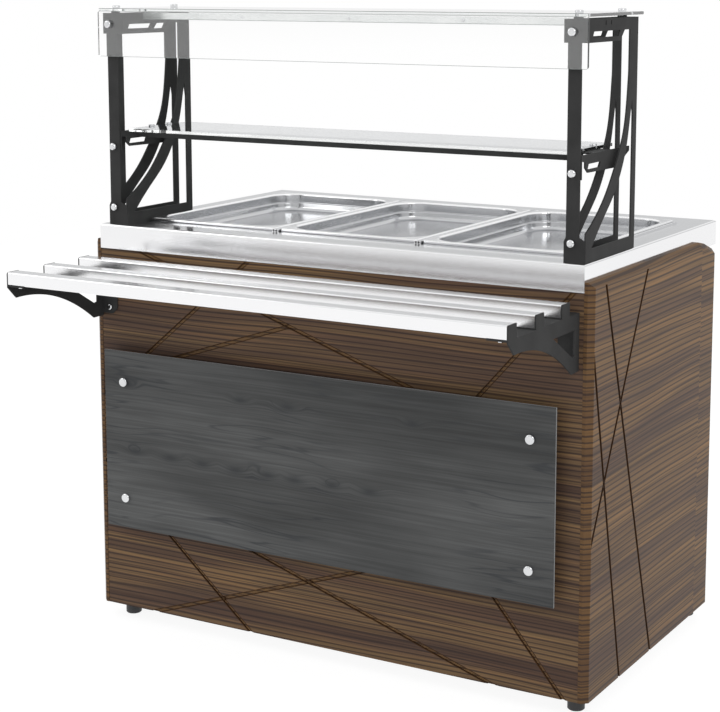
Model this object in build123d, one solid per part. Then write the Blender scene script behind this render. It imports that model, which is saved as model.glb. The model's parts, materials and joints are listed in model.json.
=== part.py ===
"""Bain marie serving counter: three pans over a water bath, glass gantry, tray slide, clad body.

All sizes in mm. The layout is written from the front left corner of the worktop at floor level
(x to the right, y to the back, z up) and moved at the end, so that the origin sits on the floor
under the centre of the whole footprint, tray slide included.
"""
import os
from math import atan2, degrees, hypot

from build123d import *

# Gastronorm 1/1 pans
PAN_WIDTH = 325.0
PAN_LENGTH = 530.0
PAN_DEPTH = 40.0
PAN_COUNT = 3
PAN_GAP = 10.0
PAN_WALL = 1.2
PAN_RISE = 7.0
PAN_LEDGE_DEPTH = 22.0
PAN_CORNER = 58.0
PAN_FLANGE_OVERLAP = 8.5
PAN_BODY_CLEARANCE = 1.5
PAN_BLOCK = PAN_COUNT * PAN_WIDTH + (PAN_COUNT - 1) * PAN_GAP

# Worktop, sized by the pans it holds and the space left round them
END_SPACE = 62.5
PAN_LEFT = END_SPACE
PAN_FRONT = 88.0
BACK_SPACE = 87.0
TOP_LENGTH = PAN_BLOCK + 2 * END_SPACE
TOP_DEPTH = PAN_FRONT + PAN_LENGTH + BACK_SPACE
TOP_HEIGHT = 875.0
TOP_SHEET = 2.0
APRON_SHEET = 1.5
APRON_HEIGHT = 52.0
APRON_BOTTOM = TOP_HEIGHT - APRON_HEIGHT
TOP_EDGE_RADIUS = 4.0

# Fits
SEAT_GAP = 0.3
SLIDE_GAP = 0.3
SHAFT_GAP = 0.05

# Divider bars
BAR_SHEET = 3.0
BAR_LEDGE_WIDTH = 26.0
BAR_OVERHANG = 5.0
BAR_REACH = 16.0
STRIP_WIDTH = 6.0
BAR_LIP_HEIGHT = 2.0
BAR_LIP_WIDTH = 1.6

# Body
CLAD_THICKNESS = 18.0
CLAD_BOTTOM = 35.0
SIDE_TOP = APRON_BOTTOM + 20.0
SIDE_BACK = TOP_DEPTH - 43.0
SIDE_LOWEST = 60.0
SIDE_BEVEL = 11.0
FRONT_SETBACK = 1.0
GROOVE_DEPTH = 3.0
GROOVE_WIDTH = 9.0
POST_DEPTH = 40.0
POST_WIDTH = 48.0
POST_BACK = SIDE_BACK + 8.0
POST_WALL = 2.0
BACKER = 2.0
BATTEN = 15.0
BATTEN_HEIGHT = 60.0
RAIL_HEIGHT = 30.0
POST_BOTTOM = 40.0
FOOT_DIAMETER = 34.0
FOOT_HEIGHT = 33.0
STUD_DIAMETER = 12.0
STUD_TOP = 90.0
PLUG_HEIGHT = 10.0
SHELF_HEIGHT = 92.0
LINER = 1.2

# Accent panel
PANEL_LEFT = 27.5
PANEL_LENGTH = TOP_LENGTH - PANEL_LEFT - 39.0
PANEL_BOTTOM = 224.5
PANEL_HEIGHT = 385.5
PANEL_THICKNESS = 4.0
PANEL_STANDOFF = 27.0
SPACER_DIAMETER = 16.0
CAP_DIAMETER = 20.0
CAP_HEIGHT = 7.0
CAP_INSET_X = 51.0
CAP_INSET_Z = 66.0

# Tray slide
BRACKET_SHEET = 3.0
BRACKET_LEFT = 0.0
BRACKET_RIGHT = TOP_LENGTH - 9.0
BRACKET_FLANGE = 42.0
TRAY_LEVEL = TOP_HEIGHT - 89.0
RAIL_TUBE_WIDTH = 32.0
RAIL_TUBE_HEIGHT = 26.0
RAIL_TUBE_WALL = 1.5
RAIL_FIRST = -297.0
RAIL_PITCH = 110.5
RAIL_COUNT = 3
TAB_HEIGHT = 26.0

# End frames
FRAME_SHEET = 3.0
FRAME_RIGHT = TOP_LENGTH - 5.0
FRAME_PITCH = FRAME_RIGHT - PAN_LEFT + 3.5
LEFT_FRAME_EXTRA = 3.0
FRAME_FRONT = 14.0
FRAME_BACK = 248.0
FRAME_HEIGHT = 445.0
FRAME_PLATE_GAP = 33.0
FLANGE_LEFT = 42.0
POST_FACE_LEFT = 40.0
POST_FACE_WIDTH = 26.5
FRONT_BAR = 44.0
BEAM_LOW = FRAME_HEIGHT - 43.0
SLOT_HIGH = FRAME_HEIGHT - 23.0
SLOT_LOW = SLOT_HIGH - 11.0
MEMBER_FRONT = FRAME_BACK - 40.0
REAR_BAR_FRONT = FRAME_BACK - 19.0
SOLE_HEIGHT = 24.5
BOLT_DIAMETER = 6.0
BOLT_LINE = 28.0
SOLE_BOLT_LINE = 25.0
SOLE_BOLT_ROWS = (95.0, 205.0)
BUTTON_LINE = 27.0
BUTTON_ROWS = (30.0, 232.0)
BOLT_HEIGHTS = (36.0, 165.0, SLOT_HIGH)
NUT_DIAMETER = 16.0
NUT_HEIGHT = 9.0

# Glass
GLASS = 6.0
GLASS_LEFT = 3.0
GLASS_RIGHT = TOP_LENGTH - GLASS_LEFT
VISOR_HEIGHT = 93.0
PAD = 4.0
ROOF_BACK = 272.0
SHELF_GLASS = 6.0
SHELF_LEVEL = 198.0
SHELF_FRONT = 20.0
SHELF_BACK = 225.0
ARM_SHEET = 3.0
ARM_DROP = 36.0
BUTTON_DIAMETER = 14.0
SHELF_RAIL_HEIGHT = 14.5

# Light channel
CHANNEL_FRONT = 84.0
CHANNEL_DEPTH = 40.0
CHANNEL_HEIGHT = 14.0
CHANNEL_SHEET = 1.2

# Water bath
BATH_WALL = 1.5
BATH_DEPTH = 170.0
BATH_MARGIN = 1.5
BATH_CORNER = 30.0
BATH_LIP = 16.0
ELEMENT_DIAMETER = 8.5
DRAIN_BORE = 22.0
DRAIN_WALL = 2.5

# Operator side
FASCIA_SHEET = 1.5
FASCIA_TOP = APRON_BOTTOM - 1.0
FASCIA_BOTTOM = FASCIA_TOP - 132.0
KNOB_DIAMETER = 46.0
KNOB_HEIGHT = 20.0
SHAFT_DIAMETER = 6.0

INNER_TOP = TOP_HEIGHT - TOP_SHEET
PAN_BACK = PAN_FRONT + PAN_LENGTH
OPEN_LEFT = PAN_LEFT + PAN_FLANGE_OVERLAP
OPEN_RIGHT = TOP_LENGTH - OPEN_LEFT
OPEN_FRONT = PAN_FRONT + PAN_FLANGE_OVERLAP
OPEN_BACK = PAN_BACK - PAN_FLANGE_OVERLAP
RIM_LEVEL = TOP_HEIGHT + PAN_RISE
CLAD_FACE = FRONT_SETBACK
CLAD_INNER = CLAD_FACE + CLAD_THICKNESS
POST_FRONT = CLAD_INNER + BATTEN
FRAME_TOP = TOP_HEIGHT + FRAME_HEIGHT
GLASS_UNDER = FRAME_TOP + PAD
RAIL_FRONTS = [RAIL_FIRST + RAIL_PITCH * index for index in range(RAIL_COUNT)]
SHELF_Z = TOP_HEIGHT + SHELF_LEVEL
LEFT_INNER = FRAME_RIGHT - FRAME_PITCH + LEFT_FRAME_EXTRA


def block(x0, x1, y0, y1, z0, z1):
    """Box between two corners."""
    size = Box(abs(x1 - x0), abs(y1 - y0), abs(z1 - z0))
    return Pos((x0 + x1) / 2, (y0 + y1) / 2, (z0 + z1) / 2) * size


def rod_x(x0, x1, y, z, diameter):
    """Cylinder along x."""
    return Pos((x0 + x1) / 2, y, z) * Rot(0, 90, 0) * Cylinder(diameter / 2, abs(x1 - x0))


def rod_y(x, y0, y1, z, diameter):
    """Cylinder along y."""
    return Pos(x, (y0 + y1) / 2, z) * Rot(90, 0, 0) * Cylinder(diameter / 2, abs(y1 - y0))


def rod_z(x, y, z0, z1, diameter):
    """Cylinder along z."""
    return Pos(x, y, (z0 + z1) / 2) * Cylinder(diameter / 2, abs(z1 - z0))


def dome_y(x, y_base, z, diameter, height):
    """Domed head facing the customer, flat side at y_base."""
    bulge = height * 0.45
    head = rod_y(x, y_base - height, y_base, z, diameter)
    rim = head.edges().filter_by(GeomType.CIRCLE).sort_by(Axis.Y)[0]
    return fillet(rim, bulge)


def dome_z(x, y, z_base, diameter, height):
    """Domed head facing up, flat side at z_base."""
    bulge = height * 0.45
    head = rod_z(x, y, z_base, z_base + height, diameter)
    rim = head.edges().filter_by(GeomType.CIRCLE).sort_by(Axis.Z)[-1]
    return fillet(rim, bulge)


def rounded(width, length, radius, z0, z1):
    """Rounded rectangle raised from z0 to z1, centred on the z axis."""
    return Pos(0, 0, z0) * extrude(RectangleRounded(width, length, radius), z1 - z0)


def profile_yz(points, x0, x1):
    """Closed straight-sided outline in y and z, thick from x0 to x1."""
    face = make_face(Polyline([(x0, y, z) for y, z in points], close=True))
    return extrude(face, abs(x1 - x0), dir=(1, 0, 0))


def tube_frame(x0, x1, y0, y1, z0, z1, wall, axis):
    """Square tube open at both ends of the named axis."""
    inner = [[x0 + wall, x1 - wall], [y0 + wall, y1 - wall], [z0 + wall, z1 - wall]]
    outer = [[x0, x1], [y0, y1], [z0, z1]]
    inner[axis] = outer[axis]
    hollow = block(*inner[0], *inner[1], *inner[2])
    return block(x0, x1, y0, y1, z0, z1) - hollow


def joined(shapes):
    """Separate solids kept in one node."""
    solids = []
    for shape in shapes:
        solids.extend(shape.solids())
    return Compound(solids)


# Worktop and pans


def make_worktop():
    shell = block(0, TOP_LENGTH, 0, TOP_DEPTH, APRON_BOTTOM, TOP_HEIGHT)
    top_edges = shell.edges().filter_by_position(Axis.Z, TOP_HEIGHT, TOP_HEIGHT)
    shell = fillet(top_edges, TOP_EDGE_RADIUS)
    wall = APRON_SHEET
    shell -= block(wall, TOP_LENGTH - wall, wall, TOP_DEPTH - wall, APRON_BOTTOM, INNER_TOP)
    shell -= block(OPEN_LEFT, OPEN_RIGHT, OPEN_FRONT, OPEN_BACK, INNER_TOP - 1, TOP_HEIGHT + 1)
    for x, y in frame_bolt_points():
        shell -= rod_z(x, y, INNER_TOP - 1, TOP_HEIGHT + 1, BOLT_DIAMETER + 2 * SEAT_GAP)
    return shell


def pan_cup(inset):
    """Solid of the pan body, drawn in by the wall thickness when inset is the wall."""
    lip = PAN_FLANGE_OVERLAP + PAN_BODY_CLEARANCE
    width = PAN_WIDTH - 2 * lip - 2 * inset
    length = PAN_LENGTH - 2 * lip - 2 * inset
    corner = PAN_CORNER - inset
    ledge = 4.0
    top = RIM_LEVEL
    ledge_z = top - PAN_LEDGE_DEPTH + inset
    floor_z = top - PAN_DEPTH + inset
    upper = rounded(width, length, corner, ledge_z, top)
    profile = RectangleRounded(width - 2 * ledge, length - 2 * ledge, corner - ledge)
    lower = Pos(0, 0, ledge_z) * extrude(profile, -(ledge_z - floor_z), taper=7)
    rim = lower.edges().filter_by_position(Axis.Z, floor_z, floor_z)
    lower = fillet(rim, 10.0 - inset)
    return upper + lower


def pan_flange():
    low = TOP_HEIGHT + SEAT_GAP
    outer = rounded(PAN_WIDTH, PAN_LENGTH, 8.0, low, RIM_LEVEL)
    rim = outer.edges().filter_by_position(Axis.Z, RIM_LEVEL, RIM_LEVEL)
    outer = fillet(rim, 3.0)
    wall = PAN_WALL
    inner = rounded(PAN_WIDTH - 2 * wall, PAN_LENGTH - 2 * wall, 8.0 - wall, low, RIM_LEVEL - wall)
    inner_rim = inner.edges().filter_by_position(Axis.Z, RIM_LEVEL - wall, RIM_LEVEL - wall)
    return outer - fillet(inner_rim, 3.0 - wall)


def make_pan(index):
    x = PAN_LEFT + PAN_WIDTH / 2 + index * (PAN_WIDTH + PAN_GAP)
    y = PAN_FRONT + PAN_LENGTH / 2
    pan = pan_flange() + pan_cup(0.0)
    pan -= pan_cup(PAN_WALL)
    return Pos(x, y, 0) * pan


def make_divider(index):
    """Bar between two pans: ledges under the flanges, a rib on show, a thin raised lip."""
    x = PAN_LEFT + (index + 1) * PAN_WIDTH + (index + 0.5) * PAN_GAP
    rib = PAN_GAP / 2 - SEAT_GAP
    front = PAN_FRONT - BAR_OVERHANG
    back = PAN_BACK + BAR_REACH
    rib_top = TOP_HEIGHT + BAR_SHEET + 1
    half = BAR_LEDGE_WIDTH / 2
    y0 = OPEN_FRONT + BATH_MARGIN
    y1 = OPEN_BACK - BATH_MARGIN
    bar = block(x - half, x + half, y0, y1, TOP_HEIGHT - BAR_SHEET, TOP_HEIGHT)
    bar += block(x - rib, x + rib, y0, y1, TOP_HEIGHT - 1, rib_top)
    bar += block(x - rib, x + rib, front, back - BAR_REACH / 2, TOP_HEIGHT, rib_top)
    lip = block(x - rib, x - rib + BAR_LIP_WIDTH, front, back, TOP_HEIGHT, rib_top + BAR_LIP_HEIGHT)
    back_end = lip.edges().filter_by(Axis.X).filter_by_position(Axis.Y, back, back)
    return bar + fillet(back_end.sort_by(Axis.Z)[-1], 5.0)


def make_edge_strip():
    """Flat strip on the worktop beside the right pan."""
    x0 = PAN_LEFT + PAN_BLOCK + SEAT_GAP
    strip = block(x0, x0 + STRIP_WIDTH, PAN_FRONT - BAR_OVERHANG, PAN_BACK, TOP_HEIGHT,
                  TOP_HEIGHT + BAR_SHEET)
    return fillet(strip.edges().filter_by(Axis.Z), 2.0)


# Water bath


def bath_solid(inset):
    margin = BATH_MARGIN + BATH_WALL - inset
    width = OPEN_RIGHT - OPEN_LEFT + 2 * margin
    length = OPEN_BACK - OPEN_FRONT + 2 * margin
    floor_z = INNER_TOP - BATH_DEPTH + inset
    corner = BATH_CORNER - inset
    tank = rounded(width, length, corner, floor_z, INNER_TOP)
    rim = tank.edges().filter_by_position(Axis.Z, floor_z, floor_z)
    tank = fillet(rim, 20.0 - inset)
    return Pos(TOP_LENGTH / 2, (OPEN_FRONT + OPEN_BACK) / 2, 0) * tank


def drain_point():
    return OPEN_RIGHT - 90.0, OPEN_BACK - 60.0


def element_exit_points():
    y = OPEN_BACK + BATH_MARGIN
    z = INNER_TOP - BATH_DEPTH + 32.0
    return [(OPEN_LEFT + 90.0, y, z), (OPEN_LEFT + 130.0, y, z)]


def make_water_bath():
    edge = BATH_MARGIN + BATH_LIP
    lip = block(OPEN_LEFT - edge, OPEN_RIGHT + edge, OPEN_FRONT - edge, OPEN_BACK + edge,
                INNER_TOP - BATH_WALL, INNER_TOP)
    bath = lip + bath_solid(0.0)
    bath -= bath_solid(BATH_WALL)
    x, y = drain_point()
    floor_z = INNER_TOP - BATH_DEPTH
    bath -= rod_z(x, y, floor_z - 5, floor_z + 5, DRAIN_BORE)
    for px, py, pz in element_exit_points():
        bath -= rod_y(px, py - 5, py + 5, pz, ELEMENT_DIAMETER + 2 * SEAT_GAP)
    return bath


def element_rows():
    return [OPEN_BACK - 70.0, OPEN_BACK - 180.0, OPEN_FRONT + 180.0, OPEN_FRONT + 70.0]


def make_heating_element():
    """One long serpentine tube over the floor of the bath, both ends through the back wall."""
    (xa, y_exit, z), (xb, _, _) = element_exit_points()
    right = OPEN_RIGHT - 160.0
    turn = xb + 40.0
    rows = element_rows()
    y_end = y_exit + 22.0
    plan = [(xb, y_end), (xb, rows[0]), (right, rows[0]), (right, rows[1]), (turn, rows[1]),
            (turn, rows[2]), (right, rows[2]), (right, rows[3]), (xa, rows[3]), (xa, y_end)]
    path = FilletPolyline(*[(x, y, z) for x, y in plan], radius=25.0)
    start = Plane(origin=(xb, y_end, z), z_dir=(0, -1, 0))
    return sweep(start * Circle(ELEMENT_DIAMETER / 2), path=path)


def make_element_flange():
    """Brass plate and nuts that clamp the two tube ends to the back wall of the bath."""
    (xa, y, z), (xb, _, _) = element_exit_points()
    y0 = y + BATH_WALL
    plate = block(xa - 22, xb + 22, y0, y0 + 3, z - 16, z + 16)
    for x in (xa, xb):
        plate += rod_y(x, y0 + 2, y0 + 14, z, 16.0)
    for x in (xa, xb):
        plate -= rod_y(x, y0 - 1, y0 + 20, z, ELEMENT_DIAMETER + 2 * SEAT_GAP)
    return plate


def make_element_supports():
    """Three combs standing on the bath floor under the straight runs."""
    z = element_exit_points()[0][2]
    floor_z = INNER_TOP - BATH_DEPTH + BATH_WALL
    combs = []
    for x in (OPEN_LEFT + 260.0, TOP_LENGTH / 2, OPEN_RIGHT - 260.0):
        comb = block(x - 1, x + 1, OPEN_FRONT + 50, OPEN_BACK - 50, floor_z, z + 8)
        comb += block(x - 1, x + 15, OPEN_FRONT + 50, OPEN_BACK - 50, floor_z, floor_z + 1.5)
        for y in element_rows():
            comb -= rod_x(x - 3, x + 3, y, z, ELEMENT_DIAMETER + 2 * SEAT_GAP)
            comb -= block(x - 3, x + 3, y - ELEMENT_DIAMETER / 2 - SEAT_GAP,
                          y + ELEMENT_DIAMETER / 2 + SEAT_GAP, z, z + 20)
        combs.append(comb)
    return joined(combs)


def make_false_bottom():
    """Perforated sheet on folded sides, standing over the element."""
    floor_z = INNER_TOP - BATH_DEPTH + BATH_WALL
    top = floor_z + 58.0
    x0 = OPEN_LEFT + 30.0
    x1 = OPEN_RIGHT - 30.0
    y0 = OPEN_FRONT + 28.0
    y1 = OPEN_BACK - 28.0
    sheet = block(x0, x1, y0, y1, top - 1.2, top)
    for y in (y0, y1 - 1.2):
        side = block(x0 + 170, x1 - 170, y, y + 1.2, floor_z, top)
        sheet += side
    columns = 12
    rows = 5
    pitch_x = (x1 - x0) / columns
    pitch_y = (y1 - y0) / rows
    centre = Pos((x0 + x1) / 2, (y0 + y1) / 2, top)
    holes = centre * GridLocations(pitch_x, pitch_y, columns, rows) * Cylinder(8.0, 6.0)
    return sheet - holes


def make_drain_pipe():
    x, y = drain_point()
    floor_z = INNER_TOP - BATH_DEPTH
    outer = DRAIN_BORE + 2 * DRAIN_WALL
    pipe = rod_z(x, y, floor_z - 62, floor_z, outer)
    pipe += rod_z(x, y, floor_z - 8, floor_z, outer + 16)
    return pipe - rod_z(x, y, floor_z - 70, floor_z + 1, DRAIN_BORE)


def valve_level():
    return INNER_TOP - BATH_DEPTH - 62.0 - 30.0


def make_valve_body():
    """Ball valve standing in the drain pipe, with its spout below and stem housing to the back."""
    x, y = drain_point()
    z = valve_level()
    body = rod_z(x, y, z - 30, z + 30, 38.0)
    body += Pos(x, y, z) * Sphere(24.0)
    body += rod_z(x, y, z - 95, z - 29, DRAIN_BORE + 2 * DRAIN_WALL)
    body += rod_y(x, y + 10, y + 34, z, 22.0)
    body -= rod_z(x, y, z - 100, z - 14, DRAIN_BORE)
    body -= rod_z(x, y, z + 14, z + 31, DRAIN_BORE)
    return body - rod_y(x, y + 16, y + 40, z, 8.0 + 2 * SHAFT_GAP)


def make_valve_lever():
    """Stem and flat lever; closed at rest, lying across the pipe to the left."""
    x, y = drain_point()
    z = valve_level()
    face = y + 34.0 + SLIDE_GAP
    lever = rod_y(x, y + 16.5, face + 3, z, 8.0)
    lever += rod_y(x, face, face + 3, z, 20.0)
    arm = block(x - 105, x, face, face + 3, z - 7, z + 7)
    lever += arm
    grip = block(x - 105, x - 45, face - 1.5, face + 4.5, z - 9, z + 9)
    grip = fillet(grip.edges().filter_by(Axis.Y), 6.0)
    lever += grip
    return lever + rod_y(x, face + 2, face + 9, z, 10.0)


# Body


def post_corners():
    """Left x and front y of the four posts."""
    xs = (BACKER, TOP_LENGTH - BACKER - POST_WIDTH)
    ys = (POST_FRONT, POST_BACK - POST_DEPTH)
    return [(x, y) for x in xs for y in ys]


def foot_centres():
    half_x = POST_WIDTH / 2
    half_y = POST_DEPTH / 2
    return [(x + half_x, y + half_y) for x, y in post_corners()]


def make_tube_frame():
    """Frame of butted square tubes: four posts, lower rails, upper rails under the worktop."""
    wall = POST_WALL
    posts = []
    for x, y in post_corners():
        posts.append(tube_frame(x, x + POST_WIDTH, y, y + POST_DEPTH, POST_BOTTOM, INNER_TOP, wall, 2))
    x0 = BACKER + POST_WIDTH
    x1 = TOP_LENGTH - x0
    y_front = POST_FRONT + POST_DEPTH
    y_back = POST_BACK - POST_DEPTH
    rails = []
    for z0 in (SHELF_HEIGHT - LINER - RAIL_HEIGHT, INNER_TOP - RAIL_HEIGHT):
        z1 = z0 + RAIL_HEIGHT
        for y0 in (POST_FRONT + 5, POST_BACK - RAIL_HEIGHT - 5):
            rails.append(tube_frame(x0, x1, y0, y0 + RAIL_HEIGHT, z0, z1, wall, 0))
        for xs in (x0 - RAIL_HEIGHT, x1):
            rails.append(tube_frame(xs, xs + RAIL_HEIGHT, y_front, y_back, z0, z1, wall, 1))
    holes = []
    for x, y in frame_bolt_points():
        holes.append(rod_z(x, y, INNER_TOP - wall - 1, INNER_TOP + 1, BOLT_DIAMETER + 2 * SEAT_GAP))
    rails = [rail - holes for rail in rails]
    return joined(posts + rails)


def make_post_plugs():
    """Threaded plugs in the foot of each post."""
    plugs = []
    fit = POST_WALL
    for x, y in post_corners():
        plug = block(x + fit, x + POST_WIDTH - fit, y + fit, y + POST_DEPTH - fit,
                     POST_BOTTOM, POST_BOTTOM + PLUG_HEIGHT)
        cx = x + POST_WIDTH / 2
        cy = y + POST_DEPTH / 2
        plug -= rod_z(cx, cy, POST_BOTTOM - 1, POST_BOTTOM + 20, STUD_DIAMETER + 2 * SHAFT_GAP)
        plugs.append(plug)
    return joined(plugs)


def make_foot(index):
    """Round pad on a threaded stud."""
    x, y = foot_centres()[index]
    pad = rod_z(x, y, 0, FOOT_HEIGHT, FOOT_DIAMETER)
    low = pad.edges().filter_by(GeomType.CIRCLE).sort_by(Axis.Z)[0]
    pad = chamfer(low, 2.0)
    return pad + rod_z(x, y, FOOT_HEIGHT - 1, STUD_TOP, STUD_DIAMETER)


def front_grooves():
    """Milled lines of the front board, as x and z ends."""
    top = APRON_BOTTOM
    low = CLAD_BOTTOM - 10
    return [
        ((378, top), (0, 505)),
        ((67, 561), (477, 698)),
        ((80, top + 8), (870, 565)),
        ((1114, top + 16), (753, 435)),
        ((0, 358), (387, low)),
        ((97, low), (874, 292)),
        ((43, 321), (971, low)),
        ((753, 435), (1099, low)),
    ]


def make_front_board():
    board = block(0, TOP_LENGTH, CLAD_FACE, CLAD_INNER, CLAD_BOTTOM, APRON_BOTTOM)
    for a, b in front_grooves():
        length = hypot(b[0] - a[0], b[1] - a[1])
        angle = degrees(atan2(b[1] - a[1], b[0] - a[0]))
        cutter = Rot(0, -angle, 0) * Box(length, 2 * GROOVE_DEPTH, GROOVE_WIDTH)
        board -= Pos((a[0] + b[0]) / 2, CLAD_FACE, (a[1] + b[1]) / 2) * cutter
    return board


def side_grooves():
    """Milled lines of a side board, as y and z ends."""
    return [((55, SIDE_TOP + 6), (324, 29)), ((277, SIDE_TOP + 6), (2, 330)), ((2, 732), (161, 29))]


def make_side_board(right):
    """Side board with mitred bevels round its outer face and a falling rear top corner."""
    outline = [(0, CLAD_BOTTOM), (0, SIDE_TOP), (SIDE_BACK - 84, SIDE_TOP),
               (SIDE_BACK - 49, SIDE_TOP - 7), (SIDE_BACK, SIDE_TOP - 24), (SIDE_BACK, CLAD_BOTTOM)]
    x0 = TOP_LENGTH if right else -CLAD_THICKNESS
    outer_x = x0 + CLAD_THICKNESS if right else x0
    board = profile_yz(outline, x0, x0 + CLAD_THICKNESS)
    face_edges = board.edges().filter_by_position(Axis.X, outer_x, outer_x)
    bevelled = [edge for edge in face_edges if edge.center().Z > CLAD_BOTTOM + 1]
    board = chamfer(bevelled, SIDE_BEVEL)
    inset = SIDE_BEVEL
    limit = block(outer_x - 20, outer_x + 20, inset, SIDE_BACK - inset, 0, SIDE_TOP - inset)
    for a, b in side_grooves():
        length = hypot(b[0] - a[0], b[1] - a[1])
        angle = degrees(atan2(b[1] - a[1], b[0] - a[0]))
        cutter = Rot(angle, 0, 0) * Box(2 * GROOVE_DEPTH, length, GROOVE_WIDTH)
        board -= (Pos(outer_x, (a[0] + b[0]) / 2, (a[1] + b[1]) / 2) * cutter) & limit
    return board


def make_battens():
    """Boards behind the front cladding and packing sheets behind the side boards."""
    bars = []
    for x in (0, TOP_LENGTH - BACKER):
        bars.append(block(x, x + BACKER, POST_FRONT, SIDE_BACK, SIDE_LOWEST, APRON_BOTTOM - 1))
    for z in (2 * SIDE_LOWEST, APRON_BOTTOM - BATTEN_HEIGHT - 43):
        bars.append(block(0, TOP_LENGTH, CLAD_INNER, POST_FRONT, z, z + BATTEN_HEIGHT))
    return joined(bars)


def make_bay_shelf():
    """Bottom shelf of the open bay with a turned-down front edge at the operator side."""
    x0 = BACKER + POST_WIDTH
    x1 = TOP_LENGTH - x0
    sheet = block(x0, x1, POST_FRONT + POST_DEPTH, POST_BACK, SHELF_HEIGHT - LINER, SHELF_HEIGHT)
    return sheet + block(x0, x1, POST_BACK, POST_BACK + LINER, SHELF_HEIGHT - 34, SHELF_HEIGHT)


def make_bay_liners():
    """Front and side liners of the bay."""
    x0 = BACKER + POST_WIDTH
    x1 = TOP_LENGTH - x0
    y0 = POST_FRONT + POST_DEPTH
    z0 = SHELF_HEIGHT
    z1 = FASCIA_BOTTOM - 20
    front = block(x0, x1, y0, y0 + LINER, z0, z1)
    left = block(x0, x0 + LINER, y0 + LINER, POST_BACK, z0, z1)
    right = block(x1 - LINER, x1, y0 + LINER, POST_BACK, z0, z1)
    return joined([front, left, right])


# Accent panel


def cap_points():
    xs = (PANEL_LEFT + CAP_INSET_X, PANEL_LEFT + PANEL_LENGTH - CAP_INSET_X)
    zs = (PANEL_BOTTOM + CAP_INSET_Z, PANEL_BOTTOM + PANEL_HEIGHT - CAP_INSET_Z)
    return [(x, z) for x in xs for z in zs]


def panel_back():
    return CLAD_FACE - PANEL_STANDOFF


def make_accent_panel():
    y1 = panel_back()
    panel = block(PANEL_LEFT, PANEL_LEFT + PANEL_LENGTH, y1 - PANEL_THICKNESS, y1,
                  PANEL_BOTTOM, PANEL_BOTTOM + PANEL_HEIGHT)
    for x, z in cap_points():
        panel -= rod_y(x, y1 - 10, y1 + 1, z, 5.0 + 2 * SEAT_GAP)
    return panel


def make_spacers():
    spacers = []
    for x, z in cap_points():
        spacer = rod_y(x, panel_back(), CLAD_FACE, z, SPACER_DIAMETER)
        stud = rod_y(x, panel_back() - PANEL_THICKNESS + SEAT_GAP, panel_back() + 1, z, 5.0)
        spacers.append(spacer + stud)
    return joined(spacers)


def make_caps():
    caps = []
    face = panel_back() - PANEL_THICKNESS
    for x, z in cap_points():
        caps.append(dome_y(x, face, z, CAP_DIAMETER, CAP_HEIGHT))
    return joined(caps)


# Tray slide


def bracket_plate(x0):
    """Bracket side: three tabs on top, an arched underside and a three-sided window."""
    front = RAIL_FRONTS[0]
    level = TRAY_LEVEL
    tab = RAIL_TUBE_WIDTH + 1
    crest = level + TAB_HEIGHT
    wall = CLAD_FACE
    tip = (-31.0, level - 110)
    arch = [(-273.0, level - 29), (-239.0, level - 29), (-197.0, level - 34), (-150.0, level - 46),
            (-94.0, level - 70), tip]
    top = []
    for y in RAIL_FRONTS:
        top += [(y, level), (y, crest - 3), (y + 4, crest), (y + tab, crest), (y + tab, level)]
    straight = [(front, level - 5)] + top + [(wall, level), (wall, level - 109), tip]
    outline = Polyline([(x0, y, z) for y, z in straight])
    under = Spline([(x0, y, z) for y, z in reversed(arch)])
    nose = Line((x0, arch[0][0], arch[0][1]), (x0, front, level - 5))
    face = make_face([*outline.edges(), *under.edges(), *nose.edges()])
    plate = extrude(face, BRACKET_SHEET, dir=(1, 0, 0))
    window = [(-114.0, level - 29), (-20.0, level - 29), (-20.0, level - 77), (-29.0, level - 79)]
    return plate - profile_yz(window, x0 - 1, x0 + BRACKET_SHEET + 1)


def make_tray_bracket(right):
    x0 = BRACKET_RIGHT - BRACKET_SHEET if right else BRACKET_LEFT
    inner = x0 if right else x0 + BRACKET_SHEET
    reach = inner - BRACKET_FLANGE + BRACKET_SHEET if right else inner + BRACKET_FLANGE - BRACKET_SHEET
    level = TRAY_LEVEL
    bracket = bracket_plate(x0)
    bracket += block(inner, reach, RAIL_FRONTS[0], CLAD_FACE, level - BRACKET_SHEET, level)
    wall = block(inner, reach, CLAD_FACE - BRACKET_SHEET, CLAD_FACE, level - 103, level - 1)
    outer = [e for e in wall.edges().filter_by(Axis.Y) if abs(e.center().X - reach) < 0.1]
    low = sorted(outer, key=lambda e: e.center().Z)[0]
    bracket += chamfer(low, 12.0)
    for x, z in wall_screw_points(right):
        bracket -= rod_y(x, CLAD_FACE - 10, CLAD_FACE + 1, z, 6.6)
    for x, y in rail_screw_points(right):
        bracket -= rod_z(x, y, level - 10, level + 1, 5.4)
    return bracket


def wall_screw_points(right):
    x = BRACKET_RIGHT - 24.0 if right else BRACKET_LEFT + 24.0
    return [(x, TRAY_LEVEL - 89), (x, TRAY_LEVEL - 30)]


def rail_screw_points(right):
    x = BRACKET_RIGHT - 22.0 if right else BRACKET_LEFT + 22.0
    return [(x, y + RAIL_TUBE_WIDTH / 2) for y in RAIL_FRONTS]


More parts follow.
